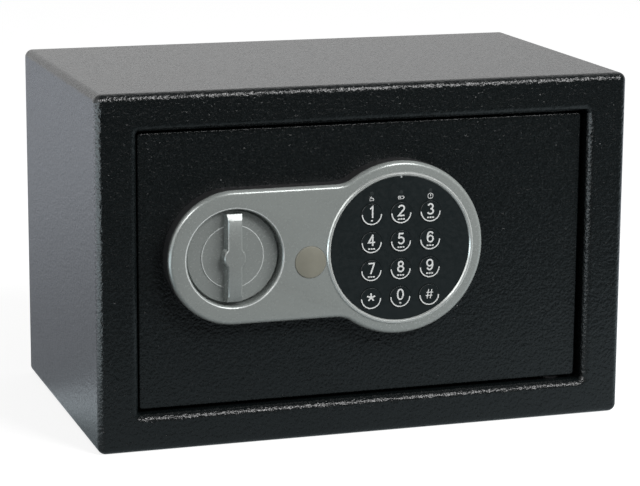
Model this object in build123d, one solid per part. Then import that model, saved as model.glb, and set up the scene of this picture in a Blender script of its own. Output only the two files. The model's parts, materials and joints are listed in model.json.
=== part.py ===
from build123d import *
from math import cos, hypot, pi, radians, sin
import os

# A small steel safe with a keypad lock, in millimetres.
# X points to the right seen from the front, Y to the back and Z up.
# The origin is the middle of the underside of the case.
# At rest the door is shut, the locking bolts are drawn in and the knob's bar stands upright.

# Case
case_width = 310.0
case_depth = 185.0
case_height = 200.0
case_sheet = 2.0
case_fold = 4.5  # outside radius of the four folds that run along the depth
front_fold = 2.5  # outside radius of the folds round the front and round the doorway
border_side = 23.0  # front border left and right of the doorway
border_level = 21.0  # front border above and below the doorway
return_depth = 22.0  # how far the doorway's edge is folded back into the case
doorway_corner = 2.0
weld_gap = 0.1
anchor_hole = 5.0  # radius
anchor_spread = 180.0
anchor_level = 0.5  # height of the holes in the rear panel, as a share of the case's
mat_thickness = 2.5
mat_margin = 3.0  # from the mat's edge to the walls
mat_hole = 8.0  # radius

# Door
door_sheet = 4.0
door_recess = 6.0  # the door's face behind the front border
door_gap_lock = 2.2
door_gap_hinge = 2.7
door_gap_top = 1.7
door_gap_bottom = 2.0
door_corner = 2.0
door_edge = 1.0  # rounding of the door's front edge

# Hinge: two upright pins that turn in the folded doorway and in a lug welded to it
hinge_inset = 12.0  # pin centre from the door's edge
hinge_setback = 4.0  # pin centre behind the door plate
pin_radius = 3.0
pin_running = 0.06  # radial clearance in the lugs
pin_free = 0.3  # radial clearance in the folded sheet
block_half = 6.0
block_length = 22.0
block_rear_wall = 2.5
washer_thickness = 1.2
washer_radius = 5.6
washer_play = 0.1
lug_sheet = 3.0
lug_half = 12.0
lug_front_gap = 2.0  # lug's front edge behind the border sheet
lug_rear_wall = 5.0
pin_past_lug = 2.0
set_screw_radius = 2.0

# Lock panel on the front of the door
panel_rise = 7.6  # the panel's long axis above the door's middle
knob_inset = 50.8  # knob centre from the door's edge
panel_depth = 12.0
panel_end = 37.6  # radius of the narrow end
panel_head = 49.2  # radius of the round end
panel_blend = 16.0
panel_edge = 2.6
panel_wall = 2.5
cover_side = 0.3  # straight side of the cover behind its rounded edge
base_wall = 1.25
base_fit = 0.05
panel_boss = 2.6
panel_screw = 1.5
screw_seat = 0.02
head_edge = 0.6
boss_spread_left = 45.0  # degrees above and below the axis
boss_spread_right = 35.0
boss_ring_left = 32.2
boss_ring_right = 44.6

# Knob, in a round well of the panel
well_radius = 27.1
well_edge = 1.4  # rounding of the well's rim
knob_radius = 25.9
knob_depth = 5.5  # knob's disc behind the panel face
disc_thickness = 3.3
disc_edge = 0.6
inner_disc = 17.8
inner_disc_rise = 0.4
bar_length = 49.0
bar_face = 7.9
bar_root = 11.1
bar_proud = 0.5  # bar's face in front of the panel face
bar_edge = 0.5
bar_bevel_length = 3.5
bar_bevel_depth = 2.0
hub_face = 6.05
hub_root = 6.9
well_play = 0.3  # between the knob and the well's floor
floor_thickness = 2.0
knob_neck = 8.0
knob_neck_play = 0.5

# Spindle, its bush and the crank that drives the bolts
spindle_radius = 4.0
spindle_running = 0.06
spindle_flats = 6.0
spindle_in_knob = 8.5
bush_wall = 2.0
bush_flange = 2.0
bush_flange_thickness = 1.5
clip_thickness = 0.8
clip_radius = 6.5
clip_groove = 0.6
clip_play = 0.1
crank_gap = 2.3  # from the clip to the crank plate
crank_thickness = 3.5
crank_throw = 13.0
crank_half_turn = 40.0  # degrees to each side of upright
crank_pin_radius = 3.0
crank_rim = 4.0
crank_screw_head = 1.6
crank_screw_radius = 1.6

# Bolt carriage and the two locking bolts
carriage_gap = 1.4  # behind the crank's screw head
carriage_sheet = 2.5
carriage_past_knob = 23.0
carriage_half_height = 48.0
carriage_flange = 19.5
slot_play = 0.4
guide_rise = 32.0  # guide posts above and below the panel axis
guide_post = 3.0
guide_play = 0.2
guide_shoulder = 5.5
post_washer = 6.0
post_washer_thickness = 1.0
post_screw_head = 1.6
bolt_radius = 8.0
bolt_behind_return = 0.5
bolt_rise = 40.0
bolt_length = 29.9
bolt_inside_edge = 6.1  # drawn-in bolt's end inside the door's edge
bolt_chamfer = 1.5
rivet_radius = 5.0
rivet_head = 6.5
rivet_thickness = 1.6
guide_hole_play = 0.1
guide_bracket_sheet = 2.5
guide_bracket_gap = 1.7  # bracket inside the cover's wall
guide_foot = 10.0
arm_drop = 17.75  # the arm's lower edge below the panel axis
arm_width = 8.0
arm_root = 10.0
notch_play = 0.5
notch_ramp = 5.0

# Solenoid that blocks the carriage, upright under the key lock
plunger_radius = 4.0
plunger_play = 0.3
plunger_tip = 3.0
plunger_stroke = 5.0
plunger_tip_gap = 0.5
collar_radius = 7.0
collar_thickness = 1.5
collar_drop = 7.0  # collar's top under the carriage arm
spring_room = 7.5
spring_wire = 0.9
spring_turns = 4
spring_radius = 5.5
coil_height = 18.0
coil_radius = 9.0
frame_sheet = 2.0
frame_half = 12.0
plunger_in_coil = 15.0

# Key lock behind the round cap
cap_spread = 43.2  # from the knob's centre
cap_drop = 4.75  # below the panel axis
cap_radius = 9.0
cap_ring_gap = 0.6  # from the cap to the keypad's ring
cap_play = 0.15
cap_proud = 1.1
cap_dome = 50.0  # radius of the domed face
cap_edge = 0.4
cap_skirt = 4.0
cap_wall = 1.6
cap_tube_wall = 2.0
barrel_radius = 8.0
barrel_nose = 6.0  # barrel's front, in front of the door
barrel_flange = 10.5
barrel_flange_thickness = 2.0
barrel_hole_play = 0.1
nut_thickness = 3.0
nut_flats = 22.0
plug_radius = 5.0
plug_running = 0.05
keyway_width = 1.4
keyway_height = 7.0
keyway_depth = 6.0
plug_cam_gap = 0.4
plug_cam_thickness = 3.0
plug_cam_width = 8.0
plug_cam_tip_gap = 0.3

# Keypad
pad_radius = 40.8
pad_thickness = 2.0
pad_sunk = -0.2  # the pad's face behind the panel face
pad_ledge = 0.8
ledge_thickness = 1.8
ring_outer = 43.2
ring_rise = 0.7
ring_fit = 0.05
ring_bevel_out = 0.6
ring_bevel_in = 0.8
tab_half = 0.45  # locating tab at the top of the ring
tab_length = 0.8
tab_play = 0.1
key_radius = 6.1
key_play = 0.2
key_proud = 0.6
key_edge = 0.2
key_travel = 0.6
key_rim = 0.55
key_rim_thickness = 0.8
key_rim_gap = 0.2
key_bottom_gap = 0.2
key_pitch_x = 17.3
key_pitch_z = 15.95
key_row_top = 20.2  # top row above the panel axis
key_mat_thickness = 1.2
board_thickness = 1.6
board_radius = 40.6
plug_half = 5.0
plug_depth = 2.0
plug_rise = 3.0
lens_radius = 1.1
lens_row = 32.0
cable_hole = 6.0

# Cover over the lock work on the door's inside
cover_inset = 8.6  # from the door's edge on the lock side
cover_past_button = 11.0
cover_below = 57.75  # from the panel axis to the cover's lower wall
cover_above = 51.25
cover_depth = 33.0
cover_sheet = 1.2
cover_fold = 2.0
cover_flange = 8.0
cover_bolt_play = 1.0
cover_screw = 2.0
cover_screw_head = 3.5
cover_screw_head_height = 2.2
cover_screw_depth = 3.0
cover_screw_inset = 14.0

# Batteries and main board
cell_radius = 7.1
cell_length = 49.0
cell_nub = 1.5
cell_nub_radius = 2.75
cell_pitch = 15.0
cell_count = 4
cell_spring = 4.0
contact_thickness = 0.5
tray_spread = 74.0  # from the knob's centre to the tray
tray_wall = 2.0
tray_floor = 1.5
tray_play = 0.1
lid_overlap = 4.0
lid_thickness = 2.0
lid_edge = 0.6
lid_travel = 60.0
lid_play = 0.1
lid_grip = 0.8
lid_grip_length = 24.0
lid_grip_width = 1.2
lid_grip_pitch = 3.0
lid_grip_inset = 8.0
lid_grips = 4
main_board_margin = 4.0
chip_height = 2.5
chip_half = 5.0
standoff_height = 3.0
standoff_radius = 3.0
button_past_tray = 11.5
button_radius = 4.0
button_play = 0.2
button_proud = 3.0
button_travel = 1.5
button_bottom_gap = 0.3
button_length = 9.0
switch_half = 5.0

# Levels that follow from the sizes above
case_front = -case_depth / 2
case_back = case_depth / 2
doorway_left = -case_width / 2 + border_side
doorway_right = case_width / 2 - border_side
doorway_low = border_level
doorway_high = case_height - border_level
door_left = doorway_left + door_gap_lock
door_right = doorway_right - door_gap_hinge
door_low = doorway_low + door_gap_bottom
door_high = doorway_high - door_gap_top
door_front = case_front + door_recess
door_back = door_front + door_sheet
knob_x = door_left + knob_inset
panel_axis = (door_low + door_high) / 2 + panel_rise
cap_x = knob_x + cap_spread
cap_z = panel_axis - cap_drop
keypad_x = cap_x + ((ring_outer + cap_ring_gap + cap_radius) ** 2 - cap_drop ** 2) ** 0.5
arm_low = panel_axis - arm_drop
arm_high = arm_low + arm_width
carriage_right = knob_x + carriage_past_knob
hinge_x = door_right - hinge_inset
hinge_y = door_back + hinge_setback
panel_face = door_front - panel_depth
base_front = panel_face + panel_edge + cover_side
disc_front = panel_face + knob_depth
disc_back = disc_front + disc_thickness
well_floor = disc_back + well_play
bar_front = panel_face - bar_proud
clip_front = door_back + bush_flange_thickness + clip_play
crank_front = clip_front + clip_thickness + crank_gap
crank_back = crank_front + crank_thickness
carriage_front = crank_back + crank_screw_head + carriage_gap
carriage_back = carriage_front + carriage_sheet
cover_back = door_back + cover_depth
cover_inner = cover_back - cover_sheet
bolt_y = case_front + return_depth + bolt_behind_return + bolt_radius
bolt_tip = door_left + bolt_inside_edge
bolt_shoulder = bolt_tip + bolt_length
bolt_throw = 2 * crank_throw * sin(radians(crank_half_turn))
crank_pin_x = knob_x + crank_throw * sin(radians(crank_half_turn))
crank_pin_z = panel_axis + crank_throw * cos(radians(crank_half_turn))
plunger_y = (carriage_front + carriage_back) / 2
collar_top = arm_low - collar_drop
frame_top = collar_top - collar_thickness - spring_room
coil_top = frame_top - frame_sheet
coil_low = coil_top - coil_height
barrel_back = door_back + nut_thickness + plug_cam_gap / 2
plug_cam_front = barrel_back + plug_cam_gap / 2
plug_cam_back = plug_cam_front + plug_cam_thickness
pad_front = panel_face + pad_sunk
pad_back = pad_front + pad_thickness
ledge_back = pad_back + ledge_thickness
key_front = pad_front - key_proud
key_back = pad_back + key_rim_gap + key_rim_thickness
tray_left = knob_x + tray_spread
tray_length = cell_length + cell_nub + cell_spring + contact_thickness * 2
tray_right = tray_left + tray_length + 2 * tray_wall
button_x = tray_right + button_past_tray
cover_left = door_left + cover_inset
cover_right = button_x + cover_past_button
cover_low = panel_axis - cover_below
cover_high = panel_axis + cover_above
main_board_right = cover_right - main_board_margin
tray_half = cell_count * cell_pitch / 2 + tray_wall
tray_back = cover_inner - tray_play
cell_y = tray_back - 2 * tray_wall - cell_radius + tray_floor
tray_front = cell_y - cell_radius - tray_floor
board_front = door_back + standoff_height
board_back = board_front + board_thickness

FOOT = (Align.CENTER, Align.CENTER, Align.MIN)


def facing(y):
    """Plane at depth y, seen from the front: its X is X and its Y is Z."""
    return Plane(origin=(0, y, 0), x_dir=(1, 0, 0), z_dir=(0, -1, 0))


def plate(shape, front, back):
    """Thicken a flat shape, drawn in X and Z, between two depths."""
    return extrude(facing(back) * shape, amount=back - front)


def rod(x, z, radius, front, back):
    """Round bar along Y."""
    return facing(back) * Pos(x, z, 0) * Cylinder(radius, back - front, align=FOOT)


def taper(x, z, front_radius, back_radius, front, back):
    """Round bar along Y whose radius changes evenly."""
    return facing(back) * Pos(x, z, 0) * Cone(back_radius, front_radius, back - front, align=FOOT)


def upright(x, y, radius, low, high):
    """Round bar along Z."""
    return Pos(x, y, low) * Cylinder(radius, high - low, align=FOOT)


def level(y, z, radius, left, right):
    """Round bar along X."""
    return Pos(left, y, z) * Rot(0, 90, 0) * Cylinder(radius, right - left, align=FOOT)


def block(left, right, front, back, low, high):
    """Box between its limits."""
    middle = ((left + right) / 2, (front + back) / 2, (low + high) / 2)
    return Pos(*middle) * Box(right - left, back - front, high - low)


def frame_shape(left, right, low, high, corner):
    """Flat rounded rectangle between its limits, in X and Z."""
    shape = RectangleRounded(right - left, high - low, corner)
    return Pos((left + right) / 2, (low + high) / 2) * shape


def front_edges(solid):
    """Edges of the face that is furthest forward."""
    return solid.faces().sort_by(Axis.Y)[0].edges()


def side_by_side(x):
    """The same distance to both sides of the middle."""
    return (-x, x)


# ---------------------------------------------------------------- case


def body_shell():
    """Four folded walls, the front border and the edge folded back round the doorway."""
    half = case_width / 2
    walls = plate(frame_shape(-half, half, 0, case_height, case_fold), case_front, case_back)
    walls = fillet(front_edges(walls), front_fold)
    inner = case_fold - case_sheet
    room = frame_shape(-half + case_sheet, half - case_sheet, case_sheet,
                       case_height - case_sheet, inner)
    shell = walls - plate(room, case_front + case_sheet, case_back)
    collar = frame_shape(doorway_left - case_sheet, doorway_right + case_sheet,
                         doorway_low - case_sheet, doorway_high + case_sheet,
                         doorway_corner + case_sheet)
    shell += plate(collar, case_front + case_sheet, case_front + return_depth)
    doorway = frame_shape(doorway_left, doorway_right, doorway_low, doorway_high, doorway_corner)
    shell -= plate(doorway, case_front, case_front + return_depth)
    border = shell.faces().sort_by(Axis.Y)[0]
    shell = fillet(border.inner_wires()[0].edges(), front_fold)
    hole = pin_radius + pin_free
    shell -= upright(hinge_x, hinge_y, hole, doorway_low - case_sheet, doorway_low)
    shell -= upright(hinge_x, hinge_y, hole, doorway_high, doorway_high + case_sheet)
    for x in side_by_side(anchor_spread / 2):
        shell -= upright(x, 0, anchor_hole, 0, case_sheet)
    return shell


def rear_panel():
    """Back wall, let in flush between the four walls."""
    edge = case_sheet + weld_gap
    half = case_width / 2 - edge
    shape = frame_shape(-half, half, edge, case_height - edge, case_fold - edge)
    panel = plate(shape, case_back - case_sheet, case_back)
    for x in side_by_side(anchor_spread / 2):
        panel -= rod(x, anchor_level * case_height, anchor_hole, case_back - case_sheet, case_back)
    return panel


def hinge_lug(low, high):
    """Plate welded to the folded doorway, with the bearing hole of one hinge pin."""
    front = case_front + case_sheet + lug_front_gap
    back = hinge_y + pin_radius + lug_rear_wall
    lug = block(hinge_x - lug_half, hinge_x + lug_half, front, back, low, high)
    lug = fillet(lug.edges().filter_by(Axis.Z), 2)
    return lug - upright(hinge_x, hinge_y, pin_radius + pin_running, low, high)


def hinge_lugs():
    lower_top = doorway_low - case_sheet
    upper_base = doorway_high + case_sheet
    return [hinge_lug(lower_top - lug_sheet, lower_top),
            hinge_lug(upper_base, upper_base + lug_sheet)]


def floor_mat():
    """Felt mat on the floor, with a hole over each anchor hole."""
    half = case_width / 2 - case_sheet - mat_margin
    front = case_front + return_depth + mat_margin
    back = case_back - case_sheet - mat_margin
    mat = block(-half, half, front, back, case_sheet, case_sheet + mat_thickness)
    mat = fillet(mat.edges().filter_by(Axis.Z), mat_margin)
    for x in side_by_side(anchor_spread / 2):
        mat -= upright(x, 0, mat_hole, case_sheet, case_sheet + mat_thickness)
    return mat


# ---------------------------------------------------------------- door and hinge


def boss_places():
    """Centres of the panel's four screw bosses."""
    left = radians(boss_spread_left)
    right = radians(boss_spread_right)
    places = []
    for side in (-1, 1):
        places.append((knob_x - boss_ring_left * cos(left),
                       panel_axis + side * boss_ring_left * sin(left)))
        places.append((keypad_x + boss_ring_right * cos(right),
                       panel_axis + side * boss_ring_right * sin(right)))
    return places


def cover_screw_places():
    """Three screws along each of the cover's two flanges."""
    left = cover_left + cover_screw_inset
    right = cover_right - cover_screw_inset
    rows = (cover_low - cover_flange / 2, cover_high + cover_flange / 2)
    return [(x, z) for z in rows for x in (left, (left + right) / 2, right)]


def door_plate():
    """Flat plate with rounded edges and the holes for what it carries."""
    shape = frame_shape(door_left, door_right, door_low, door_high, door_corner)
    door = plate(shape, door_front, door_back)
    door = fillet(front_edges(door), door_edge)
    door -= rod(knob_x, panel_axis, spindle_radius + bush_wall, door_front, door_back)
    door -= rod(cap_x, cap_z, barrel_radius + barrel_hole_play, door_front, door_back)
    door -= rod(keypad_x, panel_axis, cable_hole, door_front, door_back)
    for x, z in boss_places():
        door -= rod(x, z, panel_screw + guide_play, door_front, door_back)
    for x, z in cover_screw_places():
        door -= rod(x, z, cover_screw, door_back - cover_screw_depth, door_back)
    return door


def hinge_ends():
    """For the lower and the upper hinge: washer, block and pin limits along Z."""
    low_washer = doorway_low + washer_play
    low_block = low_washer + washer_thickness + washer_play
    high_washer = doorway_high - washer_play
    high_block = high_washer - washer_thickness - washer_play
    low_pin = doorway_low - case_sheet - lug_sheet - pin_past_lug
    high_pin = doorway_high + case_sheet + lug_sheet + pin_past_lug
    lower = ((low_washer, low_washer + washer_thickness), (low_block, low_block + block_length),
             (low_pin, low_block + block_length))
    upper = ((high_washer - washer_thickness, high_washer),
             (high_block - block_length, high_block), (high_block - block_length, high_pin))
    return lower, upper


def hinge_blocks():
    """Blocks welded to the door's back that hold the pins."""
    blocks = []
    rear = hinge_y + pin_radius + block_rear_wall
    for _, (low, high), _ in hinge_ends():
        part = block(hinge_x - block_half, hinge_x + block_half, door_back, rear, low, high)
        part = chamfer(part.faces().sort_by(Axis.Y)[-1].edges().filter_by(Axis.Z), 2)
        part -= upright(hinge_x, hinge_y, pin_radius + screw_seat, low, high)
        part -= rod(hinge_x, (low + high) / 2, set_screw_radius, hinge_y, rear)
        blocks.append(part)
    return blocks


def hinge_pins():
    pins = []
    for _, _, (low, high) in hinge_ends():
        pin = upright(hinge_x, hinge_y, pin_radius, low, high)
        pins.append(chamfer(pin.edges().filter_by(GeomType.CIRCLE), 0.5))
    return pins


def hinge_washers():
    washers = []
    for (low, high), _, _ in hinge_ends():
        ring = upright(hinge_x, hinge_y, washer_radius, low, high)
        washers.append(ring - upright(hinge_x, hinge_y, pin_radius + pin_running, low, high))
    return washers


def hinge_set_screws():
    """Socket screws that grip the pins in their blocks."""
    screws = []
    front = hinge_y + pin_radius + screw_seat
    rear = hinge_y + pin_radius + block_rear_wall
    for _, (low, high), _ in hinge_ends():
        middle = (low + high) / 2
        screw = rod(hinge_x, middle, set_screw_radius - screw_seat, front, rear)
        socket = facing(rear) * Pos(hinge_x, middle) * RegularPolygon(set_screw_radius / 2, 6)
        screws.append(screw - extrude(socket, amount=block_rear_wall / 2))
    return screws


# ---------------------------------------------------------------- lock panel and keypad


def panel_outline(inset):
    """Narrow round end, straight sides and round head, blended into one outline."""
    end = panel_end - inset
    head = panel_head - inset
    shape = Pos(knob_x, panel_axis) * Circle(end)
    shape += Pos((knob_x + keypad_x) / 2, panel_axis) * Rectangle(keypad_x - knob_x, 2 * end)
    shape += Pos(keypad_x, panel_axis) * Circle(head)
    reach = hypot(head, end)
    inner = [v for v in shape.vertices() if knob_x + 1 < v.X < keypad_x - 1 and v.X > keypad_x - reach]
    return fillet(inner, panel_blend + inset)


def panel_housing():
    """Moulded cover of the lock: a rounded face with a skirt inside the base, the knob's
    well, the cap's tube, the keypad's ledge and four screw bosses."""
    face_back = panel_face + panel_wall
    skirt = panel_outline(base_wall + base_fit)
    shell = plate(panel_outline(0), panel_face, base_front)
    shell = fillet(front_edges(shell), panel_edge)
    shell += plate(skirt, face_back, door_front)
    shell -= plate(panel_outline(panel_wall), face_back, door_front)

    floor_back = well_floor + floor_thickness
    tube = cap_radius + cap_play
    tube_back = door_front - barrel_flange_thickness - cap_play
    shell += rod(knob_x, panel_axis, well_radius + panel_wall, face_back, floor_back)
    shell += rod(cap_x, cap_z, tube + cap_tube_wall, face_back, tube_back)
    shell += rod(keypad_x, panel_axis, ring_outer + panel_wall, face_back, ledge_back)

    shell -= rod(knob_x, panel_axis, well_radius, panel_face, well_floor)
    rim = [edge for edge in front_edges(shell) if edge.length < 2 * pi * (well_radius + 1)]
    shell = fillet(rim, well_edge)
    shell -= rod(knob_x, panel_axis, knob_neck + knob_neck_play, well_floor, floor_back)
    shell -= rod(cap_x, cap_z, tube, panel_face, tube_back)
    shell -= rod(keypad_x, panel_axis, ring_outer + ring_fit, panel_face, pad_back)
    shell -= rod(keypad_x, panel_axis, pad_radius - pad_ledge, pad_back, ledge_back)

    for x, z in boss_places():
        boss = rod(x, z, panel_boss, face_back, door_front) & plate(skirt, face_back, door_front)
        boss -= rod(keypad_x, panel_axis, board_radius + key_play, ledge_back, door_front)
        boss -= rod(keypad_x, panel_axis, ring_outer, face_back, ledge_back)
        boss -= rod(knob_x, panel_axis, well_radius + panel_wall / 2, face_back, door_front)
        shell += boss
        shell -= rod(x, z, panel_screw, ledge_back, door_front)
    return shell


def panel_base():
    """Frame under the cover's rounded edge, against the door."""
    shape = panel_outline(0) - panel_outline(base_wall)
    return plate(shape, base_front, door_front)


def panel_screws():
    """Screws through the door plate into the panel's bosses."""
    screws = []
    for x, z in boss_places():
        shank = rod(x, z, panel_screw - screw_seat, ledge_back + key_play, door_back)
        head = rod(x, z, panel_screw * 1.9, door_back, door_back + panel_screw * 1.2)
        screws.append(shank + chamfer(head.faces().sort_by(Axis.Y)[-1].edges(), head_edge))
    return screws


def keypad_ring():
    """Thin raised rim round the keypad."""
    front = panel_face - ring_rise
    ring = rod(keypad_x, panel_axis, ring_outer, front, pad_back)
    ring = chamfer(front_edges(ring), ring_bevel_out)
    bore = pad_radius + ring_fit
    ring -= rod(keypad_x, panel_axis, bore, front, pad_back)
    ring -= taper(keypad_x, panel_axis, bore + ring_bevel_in, bore, front, front + ring_bevel_in)
    return ring + locating_tab(0)


def locating_tab(play):
    """Small tab from the top of the ring into the pad's edge."""
    tip = panel_axis + pad_radius - tab_length - play
    root = panel_axis + (pad_radius + ring_outer) / 2
    return block(keypad_x - tab_half - play, keypad_x + tab_half + play,
                 pad_front - play, pad_back, tip, root)


def key_places():
    """Name and centre of each key, row by row."""
    rows = (("1", "2", "3"), ("4", "5", "6"), ("7", "8", "9"), ("star", "0", "hash"))
    places = []
    for row, names in enumerate(rows):
        for column, name in enumerate(names):
            x = keypad_x + (column - 1) * key_pitch_x
            z = panel_axis + key_row_top - row * key_pitch_z
            places.append((name, x, z))
    return places


def lens_places():
    return [(keypad_x + step * key_pitch_x, panel_axis + lens_row) for step in (-1, 0, 1)]


def keypad_plate():
    """Black face of the keypad, with a hole for each key and each light."""
    pad = rod(keypad_x, panel_axis, pad_radius, pad_front, pad_back) - locating_tab(tab_play)
    for _, x, z in key_places():
        pad -= rod(x, z, key_radius + key_play, pad_front, pad_back)
    for x, z in lens_places():
        pad -= rod(x, z, lens_radius + screw_seat, pad_front, pad_back)
    return pad


def status_lenses():
    return [rod(x, z, lens_radius, pad_front, pad_back) for x, z in lens_places()]


def key(x, z):
    """Round key with a rim behind the pad that keeps it in."""
    cap = rod(x, z, key_radius, key_front, key_back)
    cap = chamfer(front_edges(cap), key_edge)
    return cap + rod(x, z, key_radius + key_play + key_rim, pad_back + key_rim_gap, key_back)


def key_mat():
    """Rubber mat under the keys, seated on the panel's ledge."""
    front = max(ledge_back, key_back + key_travel + key_bottom_gap)
    return rod(keypad_x, panel_axis, board_radius, front, front + key_mat_thickness)


def keypad_board():
    front = max(ledge_back, key_back + key_travel + key_bottom_gap) + key_mat_thickness
    board = rod(keypad_x, panel_axis, board_radius, front, front + board_thickness)
    rear = front + board_thickness
    return board + block(keypad_x - plug_half, keypad_x + plug_half, rear, rear + plug_depth,
                         panel_axis - plug_rise, panel_axis + plug_rise)


# ---------------------------------------------------------------- knob and crank


def knob():
    """Round disc with a raised middle and a tapered bar across it, round at its hub."""
    disc = rod(knob_x, panel_axis, knob_radius, disc_front, disc_back)
    disc = fillet(front_edges(disc), disc_edge)
    rise = disc_front - inner_disc_rise
    disc += chamfer(front_edges(rod(knob_x, panel_axis, inner_disc, rise, disc_back)),
                    inner_disc_rise / 2)

    section = Polyline((-bar_root / 2, disc_back), (-bar_face / 2, bar_front),
                       (bar_face / 2, bar_front), (bar_root / 2, disc_back), close=True)
    bar = extrude(make_face(section), amount=bar_length / 2, both=True)
    bar = chamfer(front_edges(bar).filter_by(Axis.Z), bar_edge)
    bar = Pos(knob_x, 0, panel_axis) * (bar - end_bevels())
    bar &= rod(knob_x, panel_axis, knob_radius - disc_edge / 2, bar_front, disc_back)

    hub = taper(knob_x, panel_axis, hub_face, hub_root, bar_front, disc_front)
    hub = chamfer(front_edges(hub), bar_edge)
    neck_back = door_front - well_play
    neck = rod(knob_x, panel_axis, knob_neck, disc_back, neck_back)
    body = disc + bar + hub + neck
    bore = spindle_radius + screw_seat
    return body - rod(knob_x, panel_axis, bore, neck_back - spindle_in_knob, neck_back)


def end_bevels():
    """Wedges that slope the two ends of the bar's face."""
    wedges = None
    for side in (-1, 1):
        tip = side * bar_length / 2
        start = side * (bar_length / 2 - bar_bevel_length)
        corner = Polyline((bar_front, start), (bar_front, tip),
                          (bar_front + bar_bevel_depth, tip), close=True)
        side_view = Plane(origin=(0, 0, 0), x_dir=(0, 1, 0), z_dir=(1, 0, 0))
        wedge = extrude(side_view * make_face(corner), amount=bar_root, both=True)
        wedges = wedge if wedges is None else wedges + wedge
    return wedges


def double_flat(radius, flats):
    """Round section with two flats, in X and Z."""
    return Pos(knob_x, panel_axis) * (Circle(radius) & Rectangle(flats, 2 * radius))


def knob_spindle():
    """Steel spindle: held in the knob, grooved for its clip, flatted for the crank."""
    start = door_front - well_play - spindle_in_knob
    spindle = rod(knob_x, panel_axis, spindle_radius, start, crank_front)
    groove = rod(knob_x, panel_axis, spindle_radius, clip_front, clip_front + clip_thickness)
    groove -= rod(knob_x, panel_axis, spindle_radius - clip_groove, clip_front,
                  clip_front + clip_thickness)
    spindle -= groove
    spindle += plate(double_flat(spindle_radius, spindle_flats), crank_front, crank_back)
    return spindle - rod(knob_x, panel_axis, crank_screw_radius, crank_front, crank_back)


def spindle_bush():
    """Plastic bush in the door plate, with a flange on the door's back."""
    outer = spindle_radius + bush_wall
    bush = rod(knob_x, panel_axis, outer - screw_seat, door_front, door_back)
    bush += rod(knob_x, panel_axis, outer + bush_flange, door_back,
                door_back + bush_flange_thickness)
    hole = spindle_radius + spindle_running
    return bush - rod(knob_x, panel_axis, hole, door_front, door_back + bush_flange_thickness)


def spindle_clip():
    """Open retaining clip in the spindle's groove."""
    back = clip_front + clip_thickness
    clip = rod(knob_x, panel_axis, clip_radius, clip_front, back)
    inner = spindle_radius - clip_groove + screw_seat
    clip -= rod(knob_x, panel_axis, inner, clip_front, back)
    mouth = inner * 0.8
    return clip - block(knob_x - mouth, knob_x + mouth, clip_front, back,
                        panel_axis - clip_radius, panel_axis)


def drive_crank():
    """Crank plate with the pin that works in the carriage's slot."""
    hub = Pos(knob_x, panel_axis) * Circle(spindle_radius + crank_rim)
    eye = Pos(crank_pin_x, crank_pin_z) * Circle(crank_pin_radius + crank_rim / 2)
    arm = make_hull((hub + eye).edges())
    crank = plate(arm, crank_front, crank_back)
    crank -= plate(double_flat(spindle_radius + screw_seat, spindle_flats + 2 * screw_seat),
                   crank_front, crank_back)
    pin_end = carriage_back + crank_pin_radius / 2
    pin = rod(crank_pin_x, crank_pin_z, crank_pin_radius, crank_back, pin_end)
    return crank + chamfer(pin.faces().sort_by(Axis.Y)[-1].edges(), 0.5)


def crank_screw():
    head = rod(knob_x, panel_axis, spindle_radius + crank_rim / 4, crank_back,
               crank_back + crank_screw_head)
    head = chamfer(head.faces().sort_by(Axis.Y)[-1].edges(), head_edge)
    return head + rod(knob_x, panel_axis, crank_screw_radius - screw_seat, crank_front, crank_back)


# ---------------------------------------------------------------- bolts


def guide_heights():
    return (panel_axis - guide_rise, panel_axis + guide_rise)


def bolt_heights():
    return (panel_axis - bolt_rise, panel_axis + bolt_rise)


def bolt_carriage():
    """Folded slide plate: crank slot, two guide slots, the bolts' flange and the arm whose
    notches the solenoid's plunger drops into."""
    low = panel_axis - carriage_half_height
    high = panel_axis + carriage_half_height
    left = bolt_shoulder
    shape = frame_shape(left, carriage_right, low, high, 4)
    arm_right = cap_x + bolt_throw + plunger_tip + 2 * notch_play + crank_rim
    shape += frame_shape(carriage_right - arm_root, arm_right, arm_low, arm_high, 1)

    slot_half = crank_pin_radius + slot_play
    slot_top = panel_axis + crank_throw + slot_half
    slot_low = crank_pin_z - slot_half
    shape -= frame_shape(crank_pin_x - slot_half, crank_pin_x + slot_half, slot_low, slot_top,
                         slot_half * 0.98)
    guide_half = guide_post + guide_play
    for z in guide_heights():
        shape -= frame_shape(knob_x - guide_half, knob_x + bolt_throw + guide_half,
                             z - guide_half, z + guide_half, guide_half * 0.98)
    notch_top = arm_low - plunger_tip_gap + plunger_stroke + notch_play
    half = plunger_tip + notch_play
    for x in (cap_x, cap_x + bolt_throw):
        shape -= Pos(x, (arm_low + notch_top) / 2) * Rectangle(2 * half, notch_top - arm_low)
    ramp = Polyline((cap_x + half, notch_top), (cap_x + half, arm_low),
                    (cap_x + half + notch_ramp, arm_low), close=True)
    shape -= make_face(ramp)
    carriage = plate(shape, carriage_front, carriage_back)

    flange = block(left, left + carriage_sheet, carriage_front, carriage_front + carriage_flange,
                   low, high)
    rear = flange.faces().sort_by(Axis.Y)[-1].edges().filter_by(Axis.X)
    carriage += fillet(rear, 4)
    for z in bolt_heights():
        carriage -= level(bolt_y, z, rivet_radius, left, left + carriage_sheet)
    return carriage


def locking_bolts():
    """Round bolts, each riveted to the carriage's flange by a thinner end."""
    bolts = []
    flange_right = bolt_shoulder + carriage_sheet
    for z in bolt_heights():
        bar = level(bolt_y, z, bolt_radius, bolt_tip, bolt_shoulder)
        bar = chamfer(bar.faces().sort_by(Axis.X)[0].edges(), bolt_chamfer)
        bar += level(bolt_y, z, rivet_radius - screw_seat, bolt_shoulder, flange_right)
        head = level(bolt_y, z, rivet_head, flange_right, flange_right + rivet_thickness)
        bolts.append(bar + chamfer(head.faces().sort_by(Axis.X)[-1].edges(), head_edge))
    return bolts


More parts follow.
